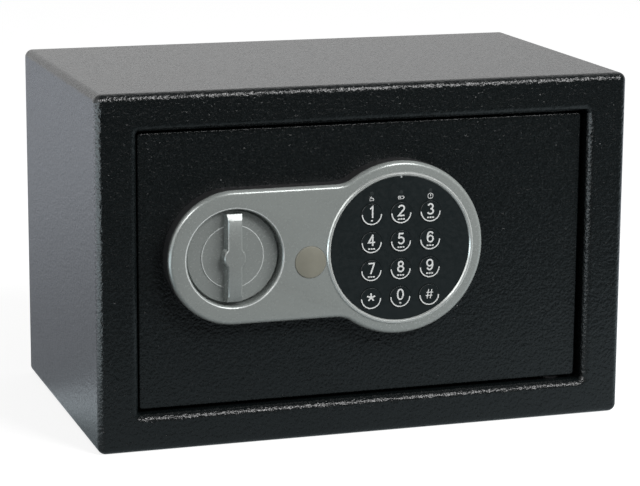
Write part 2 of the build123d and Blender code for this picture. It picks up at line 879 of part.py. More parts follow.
def guide_posts():
    """Shouldered posts on the door that the carriage slides along."""
    posts = []
    for z in guide_heights():
        post = rod(knob_x, z, guide_shoulder, door_back, carriage_front - guide_play)
        post += rod(knob_x, z, guide_post, carriage_front - guide_play, carriage_back + guide_play)
        posts.append(post - rod(knob_x, z, guide_post / 2, carriage_front, carriage_back + guide_play))
    return posts


def post_washers():
    front = carriage_back + guide_play
    washers = []
    for z in guide_heights():
        ring = rod(knob_x, z, post_washer, front, front + post_washer_thickness)
        washers.append(ring - rod(knob_x, z, guide_post / 2 + screw_seat, front,
                                  front + post_washer_thickness))
    return washers


def post_screws():
    """Screws that hold the washers on the guide posts."""
    seat = carriage_back + guide_play + post_washer_thickness
    screws = []
    for z in guide_heights():
        head = rod(knob_x, z, guide_post, seat, seat + post_screw_head)
        head = chamfer(head.faces().sort_by(Axis.Y)[-1].edges(), head_edge)
        screws.append(head + rod(knob_x, z, guide_post / 2 - screw_seat, carriage_front, seat))
    return screws


def bolt_guide():
    """Angle bracket on the door's back that the two bolts slide through."""
    left = cover_left + cover_sheet + guide_bracket_gap
    right = left + guide_bracket_sheet
    low = panel_axis - carriage_half_height
    high = panel_axis + carriage_half_height
    wall = block(left, right, door_back, cover_inner - carriage_sheet / 8, low, high)
    rear = wall.faces().sort_by(Axis.Y)[-1].edges().filter_by(Axis.X)
    wall = fillet(rear, 3)
    foot = block(left, right + guide_foot, door_back, door_back + guide_bracket_sheet, low, high)
    bracket = wall + foot
    for z in bolt_heights():
        bracket -= level(bolt_y, z, bolt_radius + guide_hole_play, left, right)
    return bracket


# ---------------------------------------------------------------- solenoid


def solenoid_frame():
    """C-shaped steel frame screwed to the door's back."""
    back = plunger_y + coil_radius + frame_sheet
    left, right = cap_x - frame_half, cap_x + frame_half
    frame = block(left, right, door_back, back, coil_low - frame_sheet, frame_top)
    inside = block(left, right, door_back + frame_sheet, back, coil_low, coil_top)
    frame -= inside
    return frame - upright(cap_x, plunger_y, plunger_radius + plunger_play, coil_top, frame_top)


def solenoid_coil():
    """Wound bobbin with a flange at each end."""
    flange = frame_sheet
    bobbin = upright(cap_x, plunger_y, coil_radius, coil_low, coil_top)
    waist = upright(cap_x, plunger_y, coil_radius, coil_low + flange, coil_top - flange)
    waist -= upright(cap_x, plunger_y, coil_radius - 1, coil_low + flange, coil_top - flange)
    bobbin -= waist
    return bobbin - upright(cap_x, plunger_y, plunger_radius + plunger_play, coil_low, coil_top)


def solenoid_plunger():
    """Drawn-in plunger: core, collar for the spring, and the tip that blocks the carriage."""
    tip = arm_low - plunger_tip_gap
    core = upright(cap_x, plunger_y, plunger_radius, coil_top - plunger_in_coil, collar_top)
    core += upright(cap_x, plunger_y, collar_radius, collar_top - collar_thickness, collar_top)
    nose = upright(cap_x, plunger_y, plunger_tip, collar_top, tip)
    return core + chamfer(nose.faces().sort_by(Axis.Z)[-1].edges(), 0.5)


def plunger_spring():
    """Compression spring between the solenoid's frame and the plunger's collar."""
    height = spring_room - spring_wire - 2 * screw_seat
    path = Helix(pitch=height / spring_turns, height=height, radius=spring_radius)
    start = Plane(origin=path @ 0, z_dir=path % 0)
    wire = sweep(start * Rectangle(spring_wire, spring_wire), path=path, is_frenet=True)
    base = frame_top + spring_wire / 2 + screw_seat
    return Pos(cap_x, plunger_y, base) * wire


# ---------------------------------------------------------------- key lock


def cover_cap():
    """Push-in cap over the key lock: a shallow dome with a short skirt."""
    front = panel_face - cap_proud
    cap = rod(cap_x, cap_z, cap_radius, front, panel_face + cap_skirt)
    cap &= Pos(cap_x, front + cap_dome, cap_z) * Sphere(cap_dome)
    cap = fillet(front_edges(cap), cap_edge)
    hollow = rod(cap_x, cap_z, cap_radius - cap_wall, panel_face + cap_wall, panel_face + cap_skirt)
    return cap - hollow


def lock_barrel():
    """Fixed body of the key lock, through the door plate."""
    front = door_front - barrel_nose
    barrel = rod(cap_x, cap_z, barrel_radius, front, barrel_back)
    barrel = chamfer(front_edges(barrel), 0.5)
    barrel += rod(cap_x, cap_z, barrel_flange, door_front - barrel_flange_thickness, door_front)
    return barrel - rod(cap_x, cap_z, plug_radius + plug_running, front, barrel_back)


def barrel_nut():
    shape = Pos(cap_x, cap_z) * RegularPolygon(nut_flats / 2, 6, major_radius=False)
    nut = plate(shape, door_back, door_back + nut_thickness)
    return nut - rod(cap_x, cap_z, barrel_radius + screw_seat, door_back, door_back + nut_thickness)


def lock_plug():
    """Turning plug with its keyway, and the flatted end that carries the cam."""
    front = door_front - barrel_nose
    plug = rod(cap_x, cap_z, plug_radius, front, plug_cam_front)
    plug -= block(cap_x - keyway_width / 2, cap_x + keyway_width / 2, front, front + keyway_depth,
                  cap_z - keyway_height / 2, cap_z + keyway_height / 2)
    end = Pos(cap_x, cap_z) * Rectangle(plug_radius, plug_radius)
    return plug + plate(end, plug_cam_front, plug_cam_back)


def plug_cam():
    """Lever on the plug that pushes the plunger's collar down when the key is turned."""
    reach = cap_z - collar_top - plug_cam_tip_gap
    hub = Pos(cap_x, cap_z) * Circle(plug_cam_width * 0.7)
    bar = Pos(cap_x + reach / 2, cap_z) * Rectangle(reach, plug_cam_width)
    bar = fillet(bar.vertices().sort_by(Axis.X)[-2:], plug_cam_width * 0.3)
    cam = plate(hub + bar, plug_cam_front, plug_cam_back)
    hole = plug_radius + 2 * screw_seat
    return cam - plate(Pos(cap_x, cap_z) * Rectangle(hole, hole), plug_cam_front, plug_cam_back)


# ---------------------------------------------------------------- inner cover


def inner_cover():
    """Folded box over the lock work: two screw flanges, the bolts' holes, the battery window
    and the reset button's hole."""
    box = block(cover_left, cover_right, door_back, cover_back, cover_low, cover_high)
    box = fillet(box.faces().sort_by(Axis.Y)[-1].edges(), cover_fold)
    low = cover_low - cover_flange
    high = cover_high + cover_flange
    box += plate(frame_shape(cover_left, cover_right, low, high, 3), door_back,
                 door_back + cover_sheet)
    room = block(cover_left + cover_sheet, cover_right - cover_sheet, door_back, cover_inner,
                 cover_low + cover_sheet, cover_high - cover_sheet)
    box -= room
    for x, z in cover_screw_places():
        box -= rod(x, z, cover_screw + guide_play, door_back, door_back + cover_sheet)
    for z in bolt_heights():
        box -= level(bolt_y, z, bolt_radius + cover_bolt_play, cover_left, cover_left + cover_sheet)
    window = frame_shape(tray_left + tray_wall, tray_right - tray_wall,
                         panel_axis - tray_half + tray_wall, panel_axis + tray_half - tray_wall, 2)
    box -= plate(window, cover_inner, cover_back)
    return box - rod(button_x, panel_axis, button_radius + button_play, cover_inner, cover_back)


def cover_screws():
    screws = []
    seat = door_back + cover_sheet
    for x, z in cover_screw_places():
        head = rod(x, z, cover_screw_head, seat, seat + cover_screw_head_height)
        head = chamfer(head.faces().sort_by(Axis.Y)[-1].edges(), head_edge)
        shank = rod(x, z, cover_screw - screw_seat, door_back - cover_screw_depth, seat)
        screws.append(head + shank)
    return screws


def cell_heights():
    first = panel_axis - (cell_count - 1) * cell_pitch / 2
    return [first + index * cell_pitch for index in range(cell_count)]


def battery_tray():
    """Open plastic tray behind the cover's window, with a rib between neighbouring cells."""
    low = panel_axis - tray_half
    high = panel_axis + tray_half
    tray = block(tray_left, tray_right, tray_front, tray_back, low, high)
    tray -= block(tray_left + tray_wall, tray_right - tray_wall, tray_front + tray_floor, tray_back,
                  low + tray_wall, high - tray_wall)
    heights = cell_heights()
    for below, above in zip(heights, heights[1:]):
        z = (below + above) / 2
        rib = (cell_pitch - 2 * cell_radius) / 4
        tray += block(tray_left + tray_wall, tray_right - tray_wall, tray_front + tray_floor,
                      cell_y, z - rib, z + rib)
    return tray


def battery_cells():
    """Round cells, laid head to tail."""
    cells = []
    left = tray_left + tray_wall + contact_thickness
    right = tray_right - tray_wall - contact_thickness
    for index, z in enumerate(cell_heights()):
        if index % 2:
            cell = level(cell_y, z, cell_radius, right - cell_nub - cell_length, right - cell_nub)
            nub = level(cell_y, z, cell_nub_radius, right - cell_nub, right)
        else:
            cell = level(cell_y, z, cell_radius, left + cell_nub, left + cell_nub + cell_length)
            nub = level(cell_y, z, cell_nub_radius, left, left + cell_nub)
        cells.append(chamfer(cell.edges().filter_by(GeomType.CIRCLE), 0.4) + nub)
    return cells


def battery_contacts():
    """A contact plate at each end of each cell, with a spring where the flat end sits."""
    plates = []
    left = tray_left + tray_wall
    right = tray_right - tray_wall - contact_thickness
    half = cell_radius * 0.8
    for index, z in enumerate(cell_heights()):
        for x in (left, right):
            plates.append(block(x, x + contact_thickness, cell_y - half, cell_y + half,
                                z - half, z + half))
        length = cell_spring
        root = right - length if index % 2 == 0 else left + contact_thickness
        turn = Rot(0, 90, 0)
        wide, slim = half * 0.8, half * 0.5
        ends = (slim, wide) if index % 2 == 0 else (wide, slim)
        cone = Pos(root, cell_y, z) * turn * Cone(ends[0], ends[1], length, align=FOOT)
        merged = 1 if index % 2 == 0 else 0
        plates[2 * index + merged] += cone
    return plates


def battery_lid():
    """Sliding lid over the battery window, with a ribbed grip."""
    front = cover_back + lid_play
    left = tray_left + tray_wall - lid_overlap
    right = tray_right - tray_wall + lid_overlap
    low = panel_axis - tray_half + tray_wall - lid_overlap
    high = panel_axis + tray_half - tray_wall + lid_overlap
    lid = plate(frame_shape(left, right, low, high, 3), front, front + lid_thickness)
    lid = chamfer(lid.faces().sort_by(Axis.Y)[-1].edges(), lid_edge)
    half = lid_grip_length / 2
    for step in range(lid_grips):
        x = left + lid_grip_inset + lid_grip_pitch * step
        lid += block(x, x + lid_grip_width, front + lid_thickness,
                     front + lid_thickness + lid_grip, panel_axis - half, panel_axis + half)
    return lid


def main_board():
    """Circuit board with its larger parts and the reset switch."""
    left = tray_left - main_board_margin
    low = panel_axis - tray_half - main_board_margin
    high = panel_axis + tray_half + main_board_margin
    board = block(left, main_board_right, board_front, board_back, low, high)
    for share, rise in ((0.2, 2), (0.45, -2), (0.68, 2)):
        x = left + share * (main_board_right - left)
        z = panel_axis + rise * 2 * chip_half
        board += block(x - 2 * chip_half, x + 2 * chip_half, board_back, board_back + chip_height,
                       z - chip_half, z + chip_half)
    top = cover_back + button_proud - button_length - button_travel - button_bottom_gap
    return board + block(button_x - switch_half, button_x + switch_half, board_back, top,
                         panel_axis - switch_half, panel_axis + switch_half)


def board_standoffs():
    """Short pillars between the door and the main board."""
    inset = standoff_radius + 1
    left = tray_left - main_board_margin + inset
    right = main_board_right - inset
    low = panel_axis - tray_half - main_board_margin + inset
    high = panel_axis + tray_half + main_board_margin - inset
    return [rod(x, z, standoff_radius, door_back, board_front)
            for x in (left, right) for z in (low, high)]


def reset_button():
    """Push button that reaches through the cover."""
    rear = cover_back + button_proud
    button = rod(button_x, panel_axis, button_radius, rear - button_length, rear)
    return chamfer(button.faces().sort_by(Axis.Y)[-1].edges(), head_edge)


# ---------------------------------------------------------------- export


def all_parts():
    """Every node: its name, and its solid or list of solids."""
    parts = {
        "body_shell": body_shell(),
        "rear_panel": rear_panel(),
        "hinge_lugs": hinge_lugs(),
        "floor_mat": floor_mat(),
        "door_plate": door_plate(),
        "hinge_blocks": hinge_blocks(),
        "hinge_pins": hinge_pins(),
        "hinge_washers": hinge_washers(),
        "hinge_set_screws": hinge_set_screws(),
        "panel_housing": panel_housing(),
        "panel_base": panel_base(),
        "panel_screws": panel_screws(),
        "keypad_ring": keypad_ring(),
        "keypad_plate": keypad_plate(),
        "status_lenses": status_lenses(),
        "key_mat": key_mat(),
        "keypad_board": keypad_board(),
        "knob": knob(),
        "knob_spindle": knob_spindle(),
        "spindle_bush": spindle_bush(),
        "spindle_clip": spindle_clip(),
        "drive_crank": drive_crank(),
        "crank_screw": crank_screw(),
        "bolt_carriage": bolt_carriage(),
        "locking_bolts": locking_bolts(),
        "guide_posts": guide_posts(),
        "post_washers": post_washers(),
        "post_screws": post_screws(),
        "bolt_guide": bolt_guide(),
        "solenoid_frame": solenoid_frame(),
        "solenoid_coil": solenoid_coil(),
        "solenoid_plunger": solenoid_plunger(),
        "plunger_spring": plunger_spring(),
        "cover_cap": cover_cap(),
        "lock_barrel": lock_barrel(),
        "barrel_nut": barrel_nut(),
        "lock_plug": lock_plug(),
        "plug_cam": plug_cam(),
        "inner_cover": inner_cover(),
        "cover_screws": cover_screws(),
        "battery_tray": battery_tray(),
        "battery_cells": battery_cells(),
        "battery_contacts": battery_contacts(),
        "battery_lid": battery_lid(),
        "main_board": main_board(),
        "board_standoffs": board_standoffs(),
        "reset_button": reset_button(),
    }
    for name, x, z in key_places():
        parts["key_" + name] = key(x, z)
    return parts


def write_parts():
    os.makedirs("parts", exist_ok=True)
    for name, shape in all_parts().items():
        solids = shape if isinstance(shape, list) else [shape]
        whole = solids[0] if len(solids) == 1 else Compound(children=solids)
        export_step(whole, "parts/" + name + ".step")


write_parts()
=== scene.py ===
import bmesh
import bpy
import json
import math
from mathutils import Matrix, Vector

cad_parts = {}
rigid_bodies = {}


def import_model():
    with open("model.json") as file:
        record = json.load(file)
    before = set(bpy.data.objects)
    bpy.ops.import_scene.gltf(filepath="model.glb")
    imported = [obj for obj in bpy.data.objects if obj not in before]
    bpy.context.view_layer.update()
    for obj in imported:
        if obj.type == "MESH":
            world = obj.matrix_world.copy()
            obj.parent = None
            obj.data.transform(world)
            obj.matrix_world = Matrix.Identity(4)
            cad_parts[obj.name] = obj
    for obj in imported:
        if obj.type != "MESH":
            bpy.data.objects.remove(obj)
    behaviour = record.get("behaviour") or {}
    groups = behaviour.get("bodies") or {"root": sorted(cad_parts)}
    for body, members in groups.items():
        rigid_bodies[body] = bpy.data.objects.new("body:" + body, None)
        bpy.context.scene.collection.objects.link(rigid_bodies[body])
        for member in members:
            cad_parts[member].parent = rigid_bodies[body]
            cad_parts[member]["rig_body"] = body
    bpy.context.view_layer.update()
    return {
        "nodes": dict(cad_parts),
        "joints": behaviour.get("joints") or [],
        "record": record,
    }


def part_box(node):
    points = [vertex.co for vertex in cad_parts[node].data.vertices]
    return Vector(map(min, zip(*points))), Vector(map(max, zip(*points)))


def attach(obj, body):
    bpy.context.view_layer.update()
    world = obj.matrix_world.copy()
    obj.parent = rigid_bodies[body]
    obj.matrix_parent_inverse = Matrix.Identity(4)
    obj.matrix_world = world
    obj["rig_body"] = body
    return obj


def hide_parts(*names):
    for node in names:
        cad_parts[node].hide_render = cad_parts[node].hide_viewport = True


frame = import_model()
mm = 0.001
keyNames = ["1", "2", "3", "4", "5", "6", "7", "8", "9", "star", "0", "hash"]


# small helpers for meshes

def meshFrom(name, points, faces):
    mesh = bpy.data.meshes.new(name)
    mesh.from_pydata([tuple(point) for point in points], [], faces)
    mesh.validate()
    return mesh


def workOn(mesh):
    work = bmesh.new()
    work.from_mesh(mesh)
    return work


def writeBack(work, mesh):
    work.to_mesh(mesh)
    work.free()
    return mesh


def joined(name, meshes):
    work = bmesh.new()
    for mesh in meshes:
        work.from_mesh(mesh)
    return writeBack(work, bpy.data.meshes.new(name))


def addBlock(work, size, spot, turn=0.0):
    made = bmesh.ops.create_cube(work, size=1)
    move = Matrix.Rotation(turn, 4, "Y") @ Matrix.Translation(spot) @ Matrix.Diagonal((*size, 1))
    bmesh.ops.transform(work, matrix=move, verts=made["verts"])


def tune(thing, **own):
    for name, value in own.items():
        setattr(thing, name, value)
    return thing


def linked(name, data):
    thing = bpy.data.objects.new(name, data)
    bpy.context.scene.collection.objects.link(thing)
    return thing


def evaluatedMesh(thing):
    bpy.context.view_layer.update()
    return bpy.data.meshes.new_from_object(thing.evaluated_get(bpy.context.evaluated_depsgraph_get()))


def extent(node):
    # lowest corner, highest corner and middle of a solid of the frame
    low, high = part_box(node)
    return low, high, (low + high) / 2


def shadeByAngle(mesh, degrees):
    # smooth across curved faces, crisp where the faces meet at more than this angle
    work = workOn(mesh)
    limit = math.radians(degrees)
    for edge in work.edges:
        edge.smooth = edge.calc_face_angle(math.pi) < limit
    for face in work.faces:
        face.smooth = True
    writeBack(work, mesh)


def pieceFrom(mesh, name, finishes, degrees=32, soften=0.0, edge=None):
    # soften rounds every crisp edge by that many millimetres; the rounded faces take the finish given as
    # edge, which in this script is always a lighter lacquer that paints a highlight along them
    for finish in finishes:
        mesh.materials.append(paint[finish])
    shadeByAngle(mesh, 180 if soften else degrees)
    piece = linked(name, mesh)
    if soften:
        rounded = tune(piece.modifiers.new("softEdges", "BEVEL"), width=soften * mm, segments=2,
                       limit_method="ANGLE", angle_limit=math.radians(degrees),
                       use_clamp_overlap=True, harden_normals=True)
        if edge:
            mesh.materials.append(paint[edge])
            rounded.material = len(mesh.materials) - 1
    else:
        tune(piece.modifiers.new("evenShading", "WEIGHTED_NORMAL"), keep_sharp=True, weight=50)
    return piece


def settle(piece, body, slotName, *replacedNodes):
    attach(piece, body)
    if replacedNodes:
        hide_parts(*replacedNodes)
    return piece


def slotOf(node):
    for row in frame["record"]["subparts"]:
        if row["node"] == node:
            return row["material_slot"]


def dress(node, finish, soften=0.0, edge=None, name=None, slotName=None, raised=None, reshape=None):
    # a welded copy of a solid of the frame, so that its round faces shade smoothly; raised holds a
    # depth and the finish of the faces behind it, and reshape is a function that refines the copy
    settings = {"weld": 1e-6, "flat": math.radians(0.4)}
    source = frame["nodes"][node]
    first, *words = node.split("_")
    name = name or first + "".join(word.capitalize() for word in words)
    points = [vertex.co for vertex in source.data.vertices]
    mesh = meshFrom(name, points, [tuple(polygon.vertices) for polygon in source.data.polygons])
    work = workOn(mesh)
    bmesh.ops.remove_doubles(work, verts=work.verts, dist=settings["weld"])
    if soften:
        bmesh.ops.dissolve_limit(work, angle_limit=settings["flat"], verts=work.verts, edges=work.edges)
    writeBack(work, mesh)
    if reshape:
        reshape(mesh)
    finishes = [finish]
    if raised:
        finishes.append(raised[1])
        for polygon in mesh.polygons:
            polygon.material_index = int(polygon.center.y > raised[0])
    piece = pieceFrom(mesh, name, finishes, soften=soften, edge=edge)
    return settle(piece, source["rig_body"], slotName or slotOf(node), node)


def dressEach(**finishes):
    for node, finish in finishes.items():
        dress(node, finish)


def turned(name, profile, centre, axis, finishes, steps=96, bands=None):
    # a closed shape turned about an axis: profile holds (radius, place along the axis) in
    # millimetres, and bands the finish of each step along it
    points, rings, faces, marks = [], [], [], []
    for radius, level in profile:
        count = steps if radius else 1
        rings.append(range(len(points), len(points) + count))
        for step in range(count):
            angle = 2 * math.pi * step / steps
            points.append(Vector((radius * math.cos(angle), radius * math.sin(angle), level)) * mm)
    for number, (lower, upper) in enumerate(zip(rings, rings[1:])):
        for step in range(max(len(lower), len(upper))):
            after = (step + 1) % steps
            if len(lower) == 1:
                faces.append((lower[0], upper[after], upper[step]))
            elif len(upper) == 1:
                faces.append((lower[step], lower[after], upper[0]))
            else:
                faces.append((lower[step], lower[after], upper[after], upper[step]))
            marks.append(bands[number] if bands else 0)
    turn = Vector((0, 0, 1)).rotation_difference(Vector(axis)).to_matrix().to_4x4()
    move = Matrix.Translation(centre) @ turn
    mesh = meshFrom(name, [move @ point for point in points], faces)
    for polygon, mark in zip(mesh.polygons, marks):
        polygon.material_index = mark
    work = workOn(mesh)
    bmesh.ops.remove_doubles(work, verts=work.verts, dist=1e-7)
    bmesh.ops.recalc_face_normals(work, faces=work.faces)
    return pieceFrom(writeBack(work, mesh), name, finishes)


def bend(centre, radii, fromAngle, toAngle, stepAngle=9):
    steps = max(2, round(abs(toAngle - fromAngle) / stepAngle))
    line = []
    for step in range(steps + 1):
        angle = math.radians(fromAngle + (toAngle - fromAngle) * step / steps)
        line.append((centre[0] + radii[0] * math.cos(angle), centre[1] + radii[1] * math.sin(angle)))
    return line


def oval(centre, radii):
    line = bend(centre, radii, 0, 360)
    return line[:-1] + line[:1]


def flatToFront(x, y, z):
    # takes something drawn on the ground plane to a surface that faces the front
    return Matrix.Translation((x, y, z)) @ Matrix.Rotation(math.radians(90), 4, "X")


# small helpers for nodes

def feed(tree, node, inputs):
    # inputs by name or number, each given as another node's output or as a value
    for label, value in inputs.items():
        socket = node.inputs[label]
        if isinstance(value, bpy.types.NodeSocket):
            tree.links.new(value, socket)
        elif socket.type == "RGBA":
            socket.default_value = (*value, 1)
        else:
            socket.default_value = value


def add(tree, kind, inputs=None, **own):
    # a new node with its own settings and its inputs
    node = tune(tree.nodes.new(kind), **own)
    feed(tree, node, inputs or {})
    return node


def put(tree, kind, inputs=None, output=0, **own):
    # the same, given back as one of its outputs
    return add(tree, kind, inputs, **own).outputs[output]


def emptyTree(owner):
    owner.use_nodes = True
    owner.node_tree.nodes.clear()
    return owner.node_tree


def newMaterial(name):
    material = bpy.data.materials.new(name)
    tree = emptyTree(material)
    shader = add(tree, "ShaderNodeBsdfPrincipled")
    add(tree, "ShaderNodeOutputMaterial", {"Surface": shader.outputs["BSDF"]})
    return material, tree, shader


def place(tree, scale=(1, 1, 1)):
    spot = put(tree, "ShaderNodeTexCoord", output="Object")
    return put(tree, "ShaderNodeMapping", {"Vector": spot, "Scale": scale})


def grain(tree, scale, detail=2.0, roughness=0.5, distortion=0.0, stretch=(1, 1, 1)):
    return put(tree, "ShaderNodeTexNoise", {
        "Vector": place(tree, stretch), "Scale": scale, "Detail": detail, "Roughness": roughness,
        "Distortion": distortion})


def dimpled(tree, scale, smoothness):
    sizes = {"Scale": scale, "Smoothness": smoothness, "Vector": place(tree)}
    return put(tree, "ShaderNodeTexVoronoi", sizes, feature="SMOOTH_F1")


def spread(tree, value, low, high, toLow=0.0, toHigh=1.0):
    ends = {"Value": value, "From Min": low, "From Max": high, "To Min": toLow, "To Max": toHigh}
    return put(tree, "ShaderNodeMapRange", ends, interpolation_type="SMOOTHSTEP")


def blendColours(tree, share, first, second):
    mix = add(tree, "ShaderNodeMix", {0: share}, data_type="RGBA")
    spots = [number for number, socket in enumerate(mix.inputs) if socket.type == "RGBA"]
    feed(tree, mix, dict(zip(spots, (first, second))))
    return [socket for socket in mix.outputs if socket.type == "RGBA"][0]


def compute(tree, operation, *values):
    return put(tree, "ShaderNodeMath", dict(enumerate(values)), operation=operation)


def relief(tree, shader, height, distance):
    bump = put(tree, "ShaderNodeBump", {"Strength": 1.0, "Distance": distance, "Height": height})
    feed(tree, shader, {"Normal": bump})


def mixed(tree, share, first, second):
    return put(tree, "ShaderNodeMixShader", {0: share, 1: first, 2: second})


def raysOf(tree):
    # rays straight from the camera, and those that were mirrored or went through something
    path = add(tree, "ShaderNodeLightPath").outputs
    return path["Is Camera Ray"], compute(tree, "MAXIMUM", path["Is Glossy Ray"], path["Is Transmission Ray"])


# materials

def surface(name, shades, tint, roughness, wear, bumps=None, depth=0.0, extra=None):
    # shades are blended by the noise tint and roughness goes over its range with the noise wear,
    # both given as low, high and the noise; bumps is the noise of the relief
    material, tree, shader = newMaterial(name)
    feed(tree, shader, {
        "Base Color": blendColours(tree, spread(tree, grain(tree, *tint[2:]), *tint[:2]), *shades),
        "Roughness": spread(tree, grain(tree, *wear[2:]), *wear[:2], *roughness),
    })
    feed(tree, shader, extra or {})
    if bumps:
        relief(tree, shader, grain(tree, *bumps), depth)
    return material


def powderCoat():
    # near-black coat; depth and size of its orange peel, and how glossy it is
    settings = {
        "shades": ((0.0028, 0.0042, 0.0045), (0.0062, 0.0084, 0.0090)),
        "shadeEdge": (0.42, 0.68), "roughnessEdge": (0.35, 0.65), "roughness": (0.245, 0.295),
        "refraction": 1.52, "peelSize": 1.35 * mm, "depth": 0.37 * mm,
        "dimpleSize": 2.1 * mm, "dimpleShare": 0.7, "grainSize": 0.62 * mm, "grainShare": 0.08,
    }
    material, tree, shader = newMaterial("powderCoat")
    specks = grain(tree, 1 / settings["grainSize"], 1.5, 0.6)
    feed(tree, shader, {
        "Base Color": blendColours(tree, spread(tree, specks, *settings["shadeEdge"]), *settings["shades"]),
        "Roughness": spread(tree, specks, *settings["roughnessEdge"], *settings["roughness"]),
        "IOR": settings["refraction"],
    })
    peel = grain(tree, 1 / settings["peelSize"], 1.5, 0.5, 0.3)
    dimples = dimpled(tree, 1 / settings["dimpleSize"], 0.9)
    height = compute(tree, "MULTIPLY_ADD", dimples, settings["dimpleShare"], peel)
    height = compute(tree, "MULTIPLY_ADD", specks, settings["grainShare"], height)
    relief(tree, shader, height, settings["depth"])
    return material


def smoothBlack():
    # black paint with a little dust on it
    return surface("smoothBlack", ((0.014, 0.0145, 0.015), (0.024, 0.024, 0.023)), (0.45, 0.85, 22, 5, 0.6),
                   (0.37, 0.45), (0.3, 0.7, 420, 3), (900, 1.5), 0.12 * mm)


def lacquer(name, colour, flake, roughness, metallic):
    # silver lacquer over moulded plastic, with its metal flakes and a clear layer on top
    settings = {"flakes": (2400, 1.0), "clouds": (30, 3, 0.55), "cloudShare": 0.35, "cloudShade": 0.93,
                "clear": 0.5, "clearRoughness": 0.22}
    material, tree, shader = newMaterial(name)
    base = blendColours(tree, spread(tree, grain(tree, *settings["flakes"]), 0.3, 0.72), colour, flake)
    clouds = spread(tree, grain(tree, *settings["clouds"]), 0.4, 0.75)
    share = compute(tree, "MULTIPLY", clouds, settings["cloudShare"])
    shade = tuple(part * settings["cloudShade"] for part in colour)
    feed(tree, shader, {
        "Base Color": blendColours(tree, share, base, shade),
        "Metallic": metallic,
        "Roughness": spread(tree, grain(tree, 600, 3), 0.3, 0.72, roughness - 0.01, roughness + 0.02),
        "Coat Weight": settings["clear"],
        "Coat Roughness": settings["clearRoughness"],
    })
    return material


def moulded(name, colour, roughness, texture=1500, depth=0.02 * mm, change=0.16, shine=1.5):
    # plain moulded plastic with a fine spark-eroded surface
    lighter = tuple(min(1, part * (1 + change)) for part in colour)
    return surface(name, (colour, lighter), (0.35, 0.75, 55, 4, 0.6), (roughness - 0.03, roughness + 0.05),
                   (0.3, 0.7, 500, 2), (texture, 1.5), depth, {"IOR": shine})


def metal(name, colour, roughness, brush=900, depth=0.01 * mm, stretch=(1, 1, 1)):
    # bare or plated metal; stretch draws the brush marks out along one direction
    darker = tuple(part * 0.82 + 0.02 for part in colour)
    marks = (brush, 3, 0.6, 0.0, stretch)
    return surface(name, (colour, darker), (0.45, 0.8, 45, 4, 0.6), (roughness - 0.05, roughness + 0.09),
                   (0.3, 0.72, *marks), marks, depth, {"Metallic": 1.0})


def zincPlate():
    # bright zinc with its faint yellow and blue tint
    return surface("zincPlate", ((0.60, 0.62, 0.66), (0.66, 0.62, 0.52)), (0.35, 0.7, 38, 3, 0.55, 0.6),
                   (0.25, 0.4), (0.3, 0.72, 420, 3), (1500, 2, 0.5, 0.0, (0.2, 1, 1)), 0.008 * mm,
                   {"Metallic": 1.0})


def felt():
    settings = {"shades": ((0.045, 0.046, 0.05), (0.12, 0.122, 0.128)), "fibre": (5, 0.7, 1.8),
                "depth": 0.35 * mm}
    material, tree, shader = newMaterial("greyFelt")
    fibres = grain(tree, 1500, *settings["fibre"], (1, 0.35, 1))
    tufts = compute(tree, "MAXIMUM", fibres, grain(tree, 1300, *settings["fibre"], (0.35, 1, 1)))
    clouds = spread(tree, grain(tree, 70, 4, 0.6), 0.2, 0.8, 0.6, 1.0)
    share = compute(tree, "MULTIPLY", spread(tree, tufts, 0.42, 0.8), clouds)
    feed(tree, shader, {"Base Color": blendColours(tree, share, *settings["shades"]), "Roughness": 0.95,
                        "Sheen Weight": 0.35, "Sheen Roughness": 0.5})
    relief(tree, shader, tufts, settings["depth"])
    return material


def circuitBoard():
    # green solder mask over copper tracks that run both ways
    settings = {"shades": ((0.010, 0.075, 0.032), (0.020, 0.135, 0.055)), "trackSize": 2.4 * mm,
                "trackWidth": 0.035, "depth": 0.03 * mm}
    material, tree, shader = newMaterial("circuitBoard")
    upright = put(tree, "ShaderNodeMapping", {"Vector": place(tree), "Rotation": (math.radians(90), 0, 0)})
    tracks = put(tree, "ShaderNodeTexBrick", {
        "Vector": upright, "Scale": 0.25 / settings["trackSize"], "Mortar Size": settings["trackWidth"],
        "Color1": (0, 0, 0), "Color2": (0.3, 0.3, 0.3), "Mortar": (1, 1, 1)})
    feed(tree, shader, {
        "Base Color": blendColours(tree, tracks, *settings["shades"]),
        "Roughness": spread(tree, grain(tree, 300, 2), 0.3, 0.7, 0.24, 0.34),
    })
    relief(tree, shader, tracks, settings["depth"])
    return material


def smokedLens():
    return surface("smokedLens", ((0.020, 0.025, 0.026), (0.032, 0.038, 0.038)), (0.3, 0.7, 900, 2),
                   (0.2, 0.28), (0.3, 0.7, 2000, 2))


def sleeve(name, colour, paler):
    # shrink sleeve of a cell, with the faint pull marks that run along it
    return surface(name, (colour, paler), (0.3, 0.7, 120, 3), (0.18, 0.27), (0.3, 0.7, 500, 2),
                   (400, 2, 0.5, 0.0, (0.1, 1, 1)), 0.03 * mm, {"Coat Weight": 0.3})


